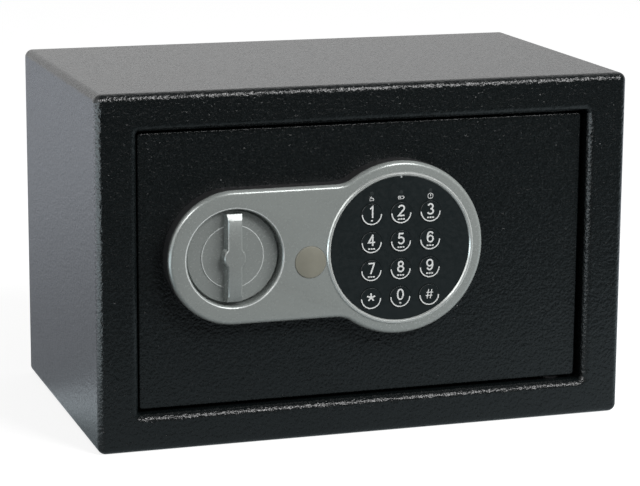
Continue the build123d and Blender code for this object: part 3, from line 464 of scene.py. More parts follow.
paint = {
    "case": powderCoat(),
    "cover": smoothBlack(),
    "silver": lacquer("silverLacquer", (0.272, 0.294, 0.283), (0.284, 0.307, 0.296), 0.26, 0.25),
    "knob": lacquer("knobLacquer", (0.256, 0.276, 0.267), (0.267, 0.288, 0.278), 0.26, 0.25),
    # the next two are lighter lacquers that rounded edges and thin lines take: painted highlights
    "knobEdge": lacquer("knobEdge", (0.40, 0.43, 0.42), (0.43, 0.46, 0.45), 0.25, 0.2),
    "bright": lacquer("paintedHighlightLacquer", (0.60, 0.63, 0.62), (0.66, 0.69, 0.68), 0.26, 0.2),
    "rim": lacquer("rimLacquer", (0.60, 0.63, 0.61), (0.63, 0.66, 0.64), 0.22, 0.55),
    "pad": moulded("keypadFace", (0.0050, 0.0085, 0.0092), 0.40, 2600, 0.008 * mm),
    "key": moulded("keyPlastic", (0.0052, 0.0088, 0.0095), 0.38, 2600, 0.008 * mm),
    "ink": moulded("legendInk", (0.56, 0.575, 0.57), 0.55, 3000, 0.004 * mm, 0.1),
    "cap": moulded("capPlastic", (0.186, 0.182, 0.148), 0.40, 1200, 0.02 * mm),
    "zinc": zincPlate(),
    "turned": metal("turnedSteel", (0.50, 0.49, 0.475), 0.34, 1400, 0.02 * mm),
    "bolt": metal("polishedBolt", (0.66, 0.655, 0.64), 0.16, 1200, 0.006 * mm, (0.05, 1, 1)),
    "nickel": metal("nickelPlate", (0.63, 0.61, 0.56), 0.2, 900, 0.006 * mm),
    "brass": metal("turnedBrass", (0.62, 0.45, 0.18), 0.24, 1200, 0.01 * mm),
    "spring": metal("springWire", (0.40, 0.40, 0.40), 0.26, 1800, 0.008 * mm),
    "copper": metal("enamelledCopper", (0.55, 0.22, 0.07), 0.22, 1000, 0.006 * mm),
    "oxide": moulded("blackOxide", (0.012, 0.012, 0.013), 0.34, 1500, 0.01 * mm, 0.4, 1.9),
    "solder": metal("solder", (0.56, 0.56, 0.58), 0.24, 700, 0.02 * mm),
    "rubber": moulded("siliconeMat", (0.045, 0.046, 0.048), 0.62, 1100, 0.03 * mm),
    "board": circuitBoard(),
    "chip": moulded("chipPackage", (0.016, 0.016, 0.017), 0.5, 1600, 0.02 * mm, 0.3),
    "nylon": moulded("whiteNylon", (0.68, 0.665, 0.60), 0.45, 800, 0.02 * mm, 0.06),
    "black": moulded("blackPlastic", (0.012, 0.012, 0.013), 0.48, 1900, 0.05 * mm, 0.35),
    "sleeve": sleeve("darkSleeve", (0.018, 0.02, 0.026), (0.03, 0.032, 0.04)),
    "band": sleeve("copperBand", (0.42, 0.24, 0.08), (0.5, 0.3, 0.12)),
    "red": moulded("redButton", (0.36, 0.012, 0.01), 0.25, 900, 0.01 * mm),
    "lens": smokedLens(),
    "felt": felt(),
}
print("materials made:", len(paint))


# camera, light and floor

def makeCamera():
    # place and aim of the camera, in metres and degrees
    settings = {"spot": (-0.44851, -1.38245, 0.4069), "turn": 18.037, "tilt": -12.257, "roll": 0.354,
                "lens": 141.0, "sensor": 36.0, "nearest": 0.05, "farthest": 50}
    turn, tilt, roll = (math.radians(settings[name]) for name in ("turn", "tilt", "roll"))
    ahead = Vector((math.sin(turn) * math.cos(tilt), math.cos(turn) * math.cos(tilt), math.sin(tilt)))
    level = Vector((math.cos(turn), -math.sin(turn), 0))
    upright = level.cross(ahead)
    side = level * math.cos(roll) + upright * math.sin(roll)
    top = upright * math.cos(roll) - level * math.sin(roll)
    camera = linked("frontCamera", tune(
        bpy.data.cameras.new("frontCamera"), lens=settings["lens"], sensor_width=settings["sensor"],
        sensor_fit="HORIZONTAL", clip_start=settings["nearest"], clip_end=settings["farthest"]))
    aim = Matrix((side, top, -ahead)).transposed().to_4x4()
    camera.matrix_world = Matrix.Translation(settings["spot"]) @ aim
    bpy.context.scene.camera = camera


def softBox(name, spot, size, power, mirrored=True, lights=True):
    # mirrored and lights say whether the lamp shows in glossy surfaces and on matt ones
    aim = Vector((0, 0, 0.1)) - Vector(spot)
    data = tune(bpy.data.lights.new(name, "AREA"), shape="RECTANGLE", energy=power)
    data.size, data.size_y = size
    tune(linked(name, data), location=spot, rotation_euler=aim.to_track_quat("-Z", "Y").to_euler(),
         visible_camera=False, visible_glossy=mirrored, visible_diffuse=lights)


def makeLights():
    softBox("keyBox", (1.0, -0.8, 0.7), (0.6, 0.6), 12, mirrored=False)
    softBox("highBox", (0.52, -1.22, 1.08), (0.5, 0.6), 14)
    softBox("leftBox", (-1.25, -0.65, 0.78), (1.2, 1.2), 5, lights=False)
    softBox("cornerBox", (-0.8, -1.13, 0.89), (0.45, 0.45), 9, lights=False)


def makeWorld():
    # glossy surfaces mirror it dim on the camera's side, bright behind and to the left; matt ones
    # get an even light, and the camera sees white
    settings = {
        "backEdge": (-0.3, 0.6), "backTone": (0.02, 1.12), "rightEdge": (0.25, 0.7), "rightShare": 0.75,
        "leftEdge": (-0.6, -0.35), "diffuse": 0.42, "seen": 1.0,
    }
    world = bpy.data.worlds.new("studio")
    bpy.context.scene.world = world
    tree = emptyTree(world)
    seen, mirrored = raysOf(tree)
    where = put(tree, "ShaderNodeTexCoord", output="Generated")
    spot = add(tree, "ShaderNodeSeparateXYZ", {"Vector": where}).outputs
    back = spread(tree, spot["Y"], *settings["backEdge"], *settings["backTone"])
    right = spread(tree, spot["X"], *settings["rightEdge"], 1.0, settings["rightShare"])
    left = spread(tree, spot["X"], *settings["leftEdge"], 1.0, 0.0)
    around = compute(tree, "MAXIMUM", compute(tree, "MULTIPLY", back, right), left)
    soft, room, white = (put(tree, "ShaderNodeBackground", {"Strength": strength})
                         for strength in (settings["diffuse"], around, settings["seen"]))
    light = mixed(tree, seen, mixed(tree, mirrored, soft, room), white)
    add(tree, "ShaderNodeOutputWorld", {"Surface": light})


def makeFloor():
    # a pale floor that keeps the soft shadow; what glossy surfaces mirror of it fades towards the
    # front, and is brighter on the right and beside the case's left side
    settings = {
        "half": 4.0, "below": 0.1 * mm, "colour": (0.36, 0.36, 0.36), "glow": 0.85, "brightest": 1.1,
        "mirrored": [(-0.8, 0.01), (-0.45, 0.03), (-0.18, 0.32), (0.1, 0.46), (0.8, 0.72)],
        "rightEdge": (-0.05, 0.45), "rightShare": 2.4,
        "leftSlope": -0.607, "leftEdge": (-0.2, -0.09), "leftDepth": (0.0, 0.12),
        "asideSlope": 0.325, "asideEdge": (-0.52, -0.34), "asideGlow": 2.8,
        "tintEdge": (-0.1, 0.15),
        "tints": ((0.86, 1.0, 1.06), (0.93, 0.985, 1.08)),
    }
    half = settings["half"]
    corners = ((-half, -half), (half, -half), (half, half), (-half, half))
    mesh = meshFrom("floor", [(x, y, -settings["below"]) for x, y in corners], [(0, 1, 2, 3)])
    material = bpy.data.materials.new("floorPaint")
    tree = emptyTree(material)
    seen, mirrored = raysOf(tree)
    matt = put(tree, "ShaderNodeBsdfDiffuse", {"Color": settings["colour"]})
    glow = put(tree, "ShaderNodeEmission", {"Strength": compute(tree, "MULTIPLY", seen, settings["glow"])})
    lit = put(tree, "ShaderNodeAddShader", {0: matt, 1: glow})
    spot = add(tree, "ShaderNodeSeparateXYZ", {"Vector": place(tree)}).outputs
    steps = settings["mirrored"]
    tone = steps[0][1]
    for (near, dim), (far, bright) in zip(steps, steps[1:]):
        tone = compute(tree, "ADD", tone, spread(tree, spot["Y"], near, far, 0.0, bright - dim))
    right = spread(tree, spot["X"], *settings["rightEdge"], 1.0, settings["rightShare"])
    tone = compute(tree, "MINIMUM", compute(tree, "MULTIPLY", tone, right), settings["brightest"])
    slant = compute(tree, "MULTIPLY_ADD", spot["Y"], settings["leftSlope"], spot["X"])
    aside = compute(tree, "MULTIPLY_ADD", spot["Y"], settings["asideSlope"], spot["X"])
    left = compute(tree, "ADD", spread(tree, spot["Y"], *settings["leftDepth"], 1.0, 0.0),
                   spread(tree, aside, *settings["asideEdge"], settings["asideGlow"], 0.0))
    left = compute(tree, "MULTIPLY", spread(tree, slant, *settings["leftEdge"], 1.0, 0.0), left)
    mirror = put(tree, "ShaderNodeEmission", {
        "Color": blendColours(tree, spread(tree, spot["Y"], *settings["tintEdge"]), *settings["tints"]),
        "Strength": compute(tree, "MAXIMUM", tone, left)})
    add(tree, "ShaderNodeOutputMaterial", {"Surface": mixed(tree, mirrored, lit, mirror)})
    mesh.materials.append(material)
    floor = linked("floor", mesh)


makeCamera()
makeLights()
makeWorld()
makeFloor()
bpy.context.scene.view_settings.view_transform = "Standard"
print("camera, lights and floor ready")


# what repeats: trees of Geometry Nodes

def newTree(name, sizes):
    # a tree with one named input for each size, and a Finish for its material
    tree = bpy.data.node_groups.new(name, "GeometryNodeTree")
    tree.interface.new_socket("Geometry", in_out="INPUT", socket_type="NodeSocketGeometry")
    for label, value in sizes.items():
        kind = "NodeSocketInt" if isinstance(value, int) else "NodeSocketFloat"
        tree.interface.new_socket(label, in_out="INPUT", socket_type=kind).default_value = value
    tree.interface.new_socket("Finish", in_out="INPUT", socket_type="NodeSocketMaterial")
    tree.interface.new_socket("Shape", in_out="INPUT", socket_type="NodeSocketObject")
    tree.interface.new_socket("Geometry", in_out="OUTPUT", socket_type="NodeSocketGeometry")
    return tree, tree.nodes.new("NodeGroupInput").outputs


def endTree(tree, size, geometry):
    whole = put(tree, "GeometryNodeRealizeInstances", {"Geometry": geometry})
    coloured = put(tree, "GeometryNodeSetMaterial", {"Geometry": whole, "Material": size["Finish"]})
    add(tree, "NodeGroupOutput", {"Geometry": coloured})
    return tree


def repeated(tree, size, points, shape, turnsAndScales):
    copies = put(tree, "GeometryNodeInstanceOnPoints", dict(turnsAndScales, Points=points, Instance=shape))
    return endTree(tree, size, copies)


def uneven(tree, size, low, high):
    # a random number for each copy, drawn from the tree's seed
    return put(tree, "FunctionNodeRandomValue", {2: low, 3: high, "Seed": size["Seed"]}, 1)


def curveCircle(tree, radius, steps):
    return put(tree, "GeometryNodeCurvePrimitiveCircle", {"Resolution": steps, "Radius": radius})


def wireAlong(tree, line, thickness, sides):
    profile = curveCircle(tree, compute(tree, "MULTIPLY", thickness, 0.5), sides)
    return put(tree, "GeometryNodeCurveToMesh", {"Curve": line, "Profile Curve": profile, "Fill Caps": True})


def windingTree():
    # turns of round wire laid one above the other, each a little off the last
    tree, size = newTree("winding", {
        "Radius": 8 * mm, "Wire": 0.6 * mm, "Pitch": 0.6 * mm, "Turns": 20, "Seed": 3})
    offset = put(tree, "ShaderNodeCombineXYZ", {"Z": size["Pitch"]})
    stack = put(tree, "GeometryNodeMeshLine", {"Count": size["Turns"], "Offset": offset})
    ring = wireAlong(tree, curveCircle(tree, size["Radius"], 64), size["Wire"], 8)
    return repeated(tree, size, stack, ring, {"Scale": uneven(tree, size, 0.985, 1.0)})


def springTree():
    # round wire in a straight or tapering coil that starts at the seed's first point
    tree, size = newTree("spring", {
        "Low": 5 * mm, "High": 5 * mm, "Height": 10 * mm, "Turns": 6.0, "Wire": 0.8 * mm})
    spiral = put(tree, "GeometryNodeCurveSpiral", {
        "Resolution": 40, "Rotations": size["Turns"], "Start Radius": size["Low"],
        "End Radius": size["High"], "Height": size["Height"]})
    return endTree(tree, size, wireAlong(tree, spiral, size["Wire"], 10))


def beadTree():
    # weld bead: overlapping drops of metal along the seed's edges
    tree, size = newTree("weldBead", {"Radius": 1.4 * mm, "Step": 0.9 * mm, "Seed": 5})
    line = put(tree, "GeometryNodeMeshToCurve", {"Mesh": size["Geometry"]})
    spots = put(tree, "GeometryNodeResampleCurve", {"Curve": line, "Length": size["Step"]}, mode="LENGTH")
    drop = put(tree, "GeometryNodeMeshUVSphere", {"Segments": 20, "Rings": 12, "Radius": size["Radius"]})
    return repeated(tree, size, spots, drop, {"Scale": uneven(tree, size, 0.88, 1.0)})


def pegTree():
    # a small tapered peg that stands out to the back at each point: solder joints and pins
    tree, size = newTree("pegs", {"Foot": 0.8 * mm, "Tip": 0.3 * mm, "Height": 1.0 * mm, "Sides": 12})
    peg = put(tree, "GeometryNodeMeshCone", {
        "Vertices": size["Sides"], "Radius Bottom": size["Foot"], "Radius Top": size["Tip"],
        "Depth": size["Height"]})
    return repeated(tree, size, size["Geometry"], peg, {"Rotation": (math.radians(-90), 0, 0)})


def copiesTree():
    # a made shape repeated at each point, each turned by its own amount about the depth axis
    tree, size = newTree("copies", {"Seed": 11})
    shape = put(tree, "GeometryNodeObjectInfo", {"Object": size["Shape"]}, "Geometry")
    turn = put(tree, "ShaderNodeCombineXYZ", {"Y": uneven(tree, size, 0.0, math.pi)})
    return repeated(tree, size, size["Geometry"], shape, {"Rotation": turn})


trees = {
    "winding": windingTree(),
    "spring": springTree(),
    "bead": beadTree(),
    "pegs": pegTree(),
    "copies": copiesTree(),
}


def grow(tree, name, sizes, finish, points=((0, 0, 0),), edges=()):
    # runs a tree over a few points and edges and gives back the plain mesh
    seed = bpy.data.meshes.new(name)
    seed.from_pydata([tuple(point) for point in points], list(edges), [])
    carrier = linked(name, seed)
    modifier = carrier.modifiers.new("grow", "NODES")
    modifier.node_group = trees[tree]
    values = dict(sizes, Finish=paint[finish])
    for item in trees[tree].interface.items_tree:
        if item.in_out == "INPUT" and item.name in values:
            modifier[item.identifier] = values[item.name]
    mesh = evaluatedMesh(carrier)
    carrier.modifiers.clear()
    bpy.data.objects.remove(carrier)
    return mesh


def grown(tree, name, body, slotName, sizes, finish, spot=(0, 0, 0), degrees=40, replaced=(), **seed):
    # a piece made by one of the trees, then put in its place; seed holds its points and edges
    mesh = grow(tree, name + "Seed", sizes, finish, **seed)
    mesh.transform(Matrix.Translation(spot))
    return settle(pieceFrom(mesh, name, [], degrees), body, slotName, *replaced)


def crossScrew(headRadius, headHeight, recess, shankRadius, shankLength):
    # pan head that looks to the back, with a cross recess, in millimetres; its seat is at the origin
    settings = {"roundness": 0.55, "brim": 0.35, "pointShare": 0.8, "pointLength": 0.3, "domeSteps": 8,
                "crossWidth": 0.42, "crossDepth": 1.3}
    profile = [(0, -shankLength), (shankRadius * settings["pointShare"], -shankLength),
               (shankRadius, shankRadius * settings["pointLength"] - shankLength),
               (shankRadius, 0), (headRadius, 0)]
    for step in range(settings["domeSteps"]):
        share = step / settings["domeSteps"]
        profile.append((headRadius * math.cos(share * math.pi / 2) ** settings["roundness"],
                        headHeight * (settings["brim"] + (1 - settings["brim"]) * share)))
    head = turned("screwHead", profile + [(0, headHeight)], (0, 0, 0), (0, 1, 0), ["oxide"], 40)
    size = Vector((recess * 2, headHeight * settings["crossDepth"], recess * settings["crossWidth"])) * mm
    cutter = bmesh.new()
    for turn in (0, math.pi / 2):
        addBlock(cutter, size, (0, headHeight * mm, 0), turn)
    cross = linked("screwCross", writeBack(cutter, bpy.data.meshes.new("screwCross")))
    tune(head.modifiers.new("cross", "BOOLEAN"), operation="DIFFERENCE", object=cross, use_self=True)
    head.modifiers.move(1, 0)
    mesh = evaluatedMesh(head)
    bpy.data.objects.remove(head)
    bpy.data.objects.remove(cross)
    return mesh


# case and door

def anchorPlug(name, centre, axis):
    # snap-in plug for an anchor hole, seated from the inside
    profile = [(0, -1.9), (4.462, -1.9), (4.85, -1.52), (4.85, 0), (7.2, 0), (7.2, 0.585), (6.68, 1.105),
               (5.184, 1.3), (4.32, 0.936), (0, 0.936)]
    settle(turned(name, profile, centre, axis, ["black"], 64), "case", "black_plastic")


def weldBeads(name, body, lines, sizes):
    points = [point for line in lines for point in line]
    edges = [(2 * number, 2 * number + 1) for number in range(len(lines))]
    grown("bead", name, body, "case_paint", sizes, "case", points=points, edges=edges)


def widenFolds(mesh):
    # the folds round the front and round the doorway, drawn out to the radius they have once painted
    settings = {"drawn": 2.5 * mm, "wanted": 4.2 * mm, "caseCorner": 4.5 * mm, "doorwayCorner": 2.0 * mm,
                "border": (23 * mm, 21 * mm), "near": 0.03 * mm}
    low, high, middle = extent("body_shell")
    half = Vector((high.x - low.x, high.z - low.z)) / 2
    doorway = half - Vector(settings["border"])
    outlines = ((half, settings["caseCorner"], -1), (doorway, settings["doorwayCorner"], 1))
    drawn, near = settings["drawn"], settings["near"]
    grows = settings["wanted"] / drawn
    for vertex in mesh.vertices:
        depth = vertex.co.y - low.y
        spot = Vector((vertex.co.x - middle.x, vertex.co.z - middle.z))
        for size, corner, way in outlines:
            over = Vector((abs(spot.x) - size.x + corner, abs(spot.y) - size.y + corner))
            if min(over) > 0:
                out = over.normalized()
                beyond = over.length - corner
            else:
                out = Vector((1, 0)) if over.x > over.y else Vector((0, 1))
                beyond = max(over) - corner
            across, deep = drawn - beyond * way, drawn - depth
            if min(across, deep) < -near or abs(math.hypot(across, deep) - drawn) > near:
                continue
            shift = (grows - 1) * (drawn - across)
            out = Vector((math.copysign(out.x, spot.x), math.copysign(out.y, spot.y))) * way * shift
            vertex.co.x += out.x
            vertex.co.z += out.y
            vertex.co.y = low.y + grows * depth


def makeCase():
    settings = {"holeSpread": 90 * mm, "rearHoleLevel": 100 * mm, "baseHoleDepth": 0.0, "lugSheet": 3 * mm,
                "beadInset": 5 * mm, "bead": {"Radius": 1.1 * mm, "Step": 0.8 * mm}}
    dress("body_shell", "case", name="caseShell", reshape=widenFolds)
    dress("rear_panel", "case")
    dress("hinge_lugs", "case", 0.4, slotName="case_paint")
    rear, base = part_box("rear_panel")[0].y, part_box("floor_mat")[0].z
    for number, side in enumerate((-1, 1), 1):
        x = side * settings["holeSpread"]
        anchorPlug("rearPlug_%d" % number, (x, rear, settings["rearHoleLevel"]), (0, -1, 0))
        anchorPlug("basePlug_%d" % number, (x, settings["baseHoleDepth"], base), (0, 0, 1))
    low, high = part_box("hinge_lugs")
    inset, sheet = settings["beadInset"], settings["lugSheet"]
    lines = [((low.x, low.y + inset, level), (low.x, high.y - inset, level))
             for level in (low.z + sheet, high.z - sheet)]
    weldBeads("lugWelds", "case", lines, settings["bead"])


def widenDoor(mesh):
    # paint builds up on the door's edges, so that its gap at the lock side and above is narrower
    settings = {"lockSide": 0.9 * mm, "above": 0.2 * mm, "edge": 3 * mm}
    low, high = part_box("door_plate")
    for vertex in mesh.vertices:
        if vertex.co.x < low.x + settings["edge"]:
            vertex.co.x -= settings["lockSide"]
        if vertex.co.z > high.z - settings["edge"]:
            vertex.co.z += settings["above"]


def makeDoor():
    settings = {"blockLength": 22 * mm, "beadInset": 2.5 * mm,
                "bead": {"Radius": 1.5 * mm, "Step": 0.95 * mm}}
    dress("door_plate", "case", reshape=widenDoor)
    dress("hinge_blocks", "case", 0.5, slotName="case_paint")
    dressEach(hinge_pins="turned", hinge_washers="black", hinge_set_screws="oxide")
    low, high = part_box("hinge_blocks")
    inset, length = settings["beadInset"], settings["blockLength"]
    lines = [((x, low.y, bottom + inset), (x, low.y, bottom + length - inset))
             for bottom in (low.z, high.z - length) for x in (low.x, high.x)]
    weldBeads("blockWelds", "door", lines, settings["bead"])


makeCase()
makeDoor()
print("case and door dressed")


# lock panel

def solderOnKeypad():
    # two joints behind each key, on the back of the keypad's board
    settings = {"aside": 3.1 * mm, "above": 1.2 * mm}
    sizes = {"Foot": 0.9 * mm, "Tip": 0.35 * mm, "Height": 0.8 * mm, "Sides": 12}
    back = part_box("keypad_board")[1].y
    middles = [extent("key_" + name)[2] for name in keyNames]
    points = [(middle.x + side * settings["aside"], back, middle.z + side * settings["above"])
              for middle in middles for side in (-1, 1)]
    grown("pegs", "keypadSolder", "door", "nickel", sizes, "solder", degrees=50, points=points)


def makePaintedWellHighlight():
    # painted highlight: a thin ring of lighter lacquer where the housing's face turns down into the knob's
    # well, in millimetres
    settings = {"centre": (28.5, 1.4), "reaches": (1.42, 1.19), "from": 82, "to": 60, "step": 11 / 3}
    angles = (settings["from"], settings["to"], settings["step"])
    outer, inner = (bend(settings["centre"], (-reach, -reach), *angles) for reach in settings["reaches"])
    middle = extent("knob")[2]
    middle.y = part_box("panel_housing")[0].y
    line = turned("wellLine", outer + inner[::-1] + outer[:1], middle, (0, 1, 0), ["bright"], 192)
    settle(line, "door", slotOf("panel_housing"))


def makePanel():
    # the housing's rounded edges take the lighter lacquer as a painted highlight
    dress("panel_housing", "silver", 0.15, "bright")
    makePaintedWellHighlight()
    dressEach(panel_base="black", panel_screws="zinc")
    # the ring's rounded edges take the same painted highlight
    dress("keypad_ring", "rim", 0.15, "bright")
    dressEach(keypad_plate="pad", status_lenses="lens", key_mat="rubber", keypad_board="board")
    solderOnKeypad()
    dress("cover_cap", "cap", name="keyholeCap")


def makeKnob():
    # the handle; its rounded edges take a lighter lacquer, and a thin ring of lighter lacquer circles the
    # raised middle of its disc, both painted highlights
    settings = {"middleBehind": 5.6 * mm, "line": [(17.35, -0.1), (17.35, 0), (17.5, 0.07), (17.675, 0.07),
                                                   (17.85, -0.16), (17.85, -0.45), (17.6, -0.5)]}
    dress("knob", "knob", 0.16, "knobEdge", name="knobHandle")
    low, high, middle = extent("knob")
    middle.y = low.y + settings["middleBehind"]
    line = turned("discLine", settings["line"], middle, (0, -1, 0), ["bright"], 160)
    settle(line, "knob", slotOf("knob"))
    dressEach(knob_spindle="turned", spindle_bush="nylon", spindle_clip="oxide")


makePanel()
makeKnob()
print("lock panel and knob dressed")


# keys with their legends

def ribbon(points, width, thickness):
    # a flat bar of even width along a line on the ground plane, with square ends; it is closed if
    # the line ends where it starts
    sharpest = 0.45
    closed = points[0] == points[-1]
    count = len(points) - closed
    corners = []
    for step in range(count):
        here = Vector(points[step])
        before = Vector(points[(step - 1) % count]) if closed or step else None
        after = Vector(points[(step + 1) % count]) if closed or step < count - 1 else None
        ways = [(here - before).normalized()] if before is not None else []
        ways += [(after - here).normalized()] if after is not None else []
        sides = [Vector((-way.y, way.x)) for way in ways]
        side = sum(sides, Vector((0, 0))).normalized()
        reach = width / 2 / max(sharpest, side.dot(sides[0]))
        corners += [here + side * reach, here - side * reach]
    half = thickness / 2
    points = [(corner.x, corner.y, level) for corner in corners for level in (-half, half)]
    faces = []
    for step in range(count if closed else count - 1):
        a, b = 4 * step, 4 * ((step + 1) % count)
        faces += [(a, b, b + 2, a + 2), (a + 1, a + 3, b + 3, b + 1)]
        faces += [(a, a + 1, b + 1, b), (a + 2, b + 2, b + 3, a + 3)]
    if not closed:
        end = 4 * (count - 1)
        faces += [(0, 2, 3, 1), (end, end + 1, end + 3, end + 2)]
    return meshFrom("ribbon", points, faces)


def signStrokes(name):
    # centre lines of each sign on a square of height 1
    six = [bend((0.015, 0.53), (0.285, 0.47), 35, 200), oval((0.01, 0.31), (0.27, 0.31))]
    arms = [bend((0, 0), (0.5, 0.5), 90 + 72 * arm, 90 + 72 * arm, 1)[0] for arm in range(5)]
    strokes = {
        "0": [oval((0, 0.5), (0.27, 0.5))],
        "1": [[(-0.17, 0.80), (0.06, 1.04), (0.06, -0.07)]],
        "2": [bend((0, 0.73), (0.27, 0.27), 165, -30) + [(-0.28, 0), (0.30, 0)]],
        "3": [bend((-0.02, 0.745), (0.23, 0.255), 160, -90), bend((-0.02, 0.25), (0.27, 0.25), 90, -160)],
        "4": [[(0.1, 1.02), (-0.3, 0.28), (0.32, 0.28)], [(0.1, 1.07), (0.1, -0.07)]],
        "5": [[(0.24, 1), (-0.17, 1), (-0.235, 0.52)], bend((0, 0.31), (0.28, 0.31), 140, -155)],
        "6": six,
        "7": [[(-0.28, 1), (0.27, 1), (-0.07, -0.07)]],
        "8": [oval((0, 0.76), (0.22, 0.24)), oval((0, 0.265), (0.27, 0.265))],
        "9": [[(-x, 1 - y) for x, y in line] for line in six],
        "star": [[(0, 0.5), (x, y + 0.5)] for x, y in arms],
        "hash": [[(-0.24, 0), (-0.08, 1)], [(0.10, 0), (0.26, 1)], [(-0.38, 0.33), (0.32, 0.33)],
                 [(-0.31, 0.67), (0.39, 0.67)]],
    }
    return strokes[name]


legend = {
    "digitWidth": 1.07, "digitHeight": 5.66 * mm, "digitRise": 1.35 * mm,
    "starHeight": 4.7 * mm, "starRise": 0.7 * mm, "hashHeight": 5.2 * mm, "hashRise": 0.5 * mm,
    "stroke": 0.88 * mm, "hashStroke": 0.56 * mm,
    "inkThickness": 0.06 * mm, "inkSink": 0.015 * mm, "inkStep": 0.002 * mm,
    "arcRadius": 5.56 * mm, "arcWidth": 0.65 * mm,
    "dashDrop": 3.5 * mm, "dashLength": 1.1 * mm, "dashHeight": 0.8 * mm, "dashPitch": 1.5 * mm,
}


def inkOn(name, body, slotName, marks, x, face, z):
    # marks drawn on the ground plane, joined and laid on a surface that looks to the front
    for number, mesh in enumerate(marks):
        mesh.transform(flatToFront(x, face + legend["inkSink"] - number * legend["inkStep"], z))
    settle(pieceFrom(joined(name, marks), name, ["ink"]), body, slotName)


def makeKey(name):
    node = "key_" + name
    kind = name if name in ("star", "hash") else "digit"
    height, rise = legend[kind + "Height"], legend[kind + "Rise"]
    stroke, thickness = legend["hashStroke" if name == "hash" else "stroke"], legend["inkThickness"]
    marks = []
    for line in signStrokes(name):
        drawn = [(x * height * legend["digitWidth"], (y - 0.5) * height + rise) for x, y in line]
        marks.append(ribbon(drawn, stroke, thickness))
    radius = legend["arcRadius"]
    marks.append(ribbon(bend((0, 0), (radius, radius), 180, 360, 5), legend["arcWidth"], thickness))
    dashes = 0 if kind == name else 1 if name in ("1", "0") else 3
    half, level = legend["dashLength"] / 2, -legend["dashDrop"]
    for number in range(dashes):
        x = (number - (dashes - 1) / 2) * legend["dashPitch"]
        marks.append(ribbon([(x - half, level), (x + half, level)], legend["dashHeight"], thickness))
    low, high, middle = extent(node)
    inkOn("legend_" + name, node, "key_black", marks, middle.x, low.y, middle.z)
    dress(node, "key", 0.1, name="keyCap_" + name)


def makeStateMarks():
    # small signs under the three lights: open latch, battery and warning dot; each line is drawn at
    # height 1, with how many times the usual line it is wide
    settings = {"drop": 3.2 * mm, "height": 1.75 * mm, "line": 0.3 * mm}
    signs = {
        "latch": [([(-0.6, -0.5), (0.6, -0.5), (0.6, 0.2), (-0.6, 0.2), (-0.6, -0.5)], 1),
                  (bend((-0.25, 0.2), (0.33, 0.5), 0, 150), 1)],
        "battery": [([(-0.95, -0.42), (0.8, -0.42), (0.8, 0.42), (-0.95, 0.42), (-0.95, -0.42)], 1),
                    ([(0.95, -0.18), (0.95, 0.18)], 1.2), ([(-0.62, 0), (-0.12, 0)], 2.1)],
        "warning": [([(0, -0.1), (0, 0.55)], 1.3), ([(0, -0.52), (0, -0.34)], 1.3),
                    (oval((0, 0), (0.85, 0.85)), 1)],
    }
    low, high, middle = extent("status_lenses")
    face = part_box("keypad_plate")[0].y
    tall = settings["height"]
    reach = (high.x - low.x) / 2 - (high.z - low.z) / 2
    for (name, strokes), side in zip(signs.items(), (-1, 0, 1)):
        marks = [ribbon([(x * tall, y * tall) for x, y in path], settings["line"] * width,
                        legend["inkThickness"]) for path, width in strokes]
        spot = (middle.x + side * reach, face, middle.z - settings["drop"])
        inkOn("sign_" + name, "door", "keypad_black", marks, *spot)


for keyName in keyNames:
    makeKey(keyName)
makeStateMarks()
print("keys lettered:", len(keyNames))


# bolt work, solenoid and key lock

def makeBoltWork():
    dress("drive_crank", "zinc", 0.2)
    dress("crank_screw", "zinc")
    dress("bolt_carriage", "zinc", 0.15)
    dressEach(locking_bolts="bolt", guide_posts="turned", post_washers="zinc", post_screws="zinc")
    dress("bolt_guide", "zinc", 0.15)


def makeSolenoid():
    # copper turns wound in the bobbin's waist, and the plunger's return spring
    settings = {"flange": 2.0 * mm, "sunk": 0.3 * mm, "wire": 0.62 * mm, "springWire": 0.8 * mm,
                "springTurns": 5.0}
    dress("solenoid_frame", "zinc", 0.15)
    dress("solenoid_coil", "nylon", name="coilBobbin", slotName="nylon")
    low, high, coil = extent("solenoid_coil")
    wire, flange = settings["wire"], settings["flange"]
    room = high.z - low.z - 2 * flange
    turns = int(room / wire)
    radius = (high.x - low.x) / 2 - wire / 2 - settings["sunk"]
    grown("winding", "coilWinding", "door", "copper_wire",
          {"Radius": radius, "Wire": wire, "Pitch": room / turns, "Turns": turns}, "copper",
          (coil.x, coil.y, low.z + flange + wire / 2))
    dress("solenoid_plunger", "turned")
    low, high, middle = extent("plunger_spring")
    wire = settings["springWire"]
    radius = (high.y - low.y) / 2 - wire / 2
    grown("spring", "plungerSpring", "plunger", "spring_steel",
          {"Low": radius, "High": radius, "Height": high.z - low.z - wire, "Turns": settings["springTurns"],
           "Wire": wire}, "spring",
          (coil.x, middle.y, low.z + wire / 2), replaced=["plunger_spring"])


makeBoltWork()
makeSolenoid()
dressEach(lock_barrel="nickel", barrel_nut="nickel", lock_plug="brass", plug_cam="zinc")
print("lock work dressed")


# inner cover and batteries

def makeCover():
    # folded cover with its screws, in millimetres, and the button through it
    settings = {"headRadius": 3.5, "headHeight": 2.2, "recess": 1.6, "shankRadius": 1.9, "shankLength": 4.0}
    dress("inner_cover", "cover")
    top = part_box("cover_screws")[1].y
    groups = []
    for vertex in frame["nodes"]["cover_screws"].data.vertices:
        spot = Vector((vertex.co.x, vertex.co.z))
        if abs(vertex.co.y - top) < 1e-6:
            near = [group for group in groups if (group[0] - spot).length < 2 * settings["headRadius"] * mm]
            if near:
                near[0].append(spot)
            else:
                groups.append([spot])
    seat = top - settings["headHeight"] * mm
    points = [((min(p.x for p in group) + max(p.x for p in group)) / 2, seat,
               (min(p.y for p in group) + max(p.y for p in group)) / 2) for group in groups]
    shape = linked("screwShape", crossScrew(**settings))
    grown("copies", "coverScrews", "door", "black_steel", {"Shape": shape}, "oxide", points=points,
          replaced=["cover_screws"])
    bpy.data.objects.remove(shape)
    dress("reset_button", "red", 0.3)
    print("cover screws:", len(points))


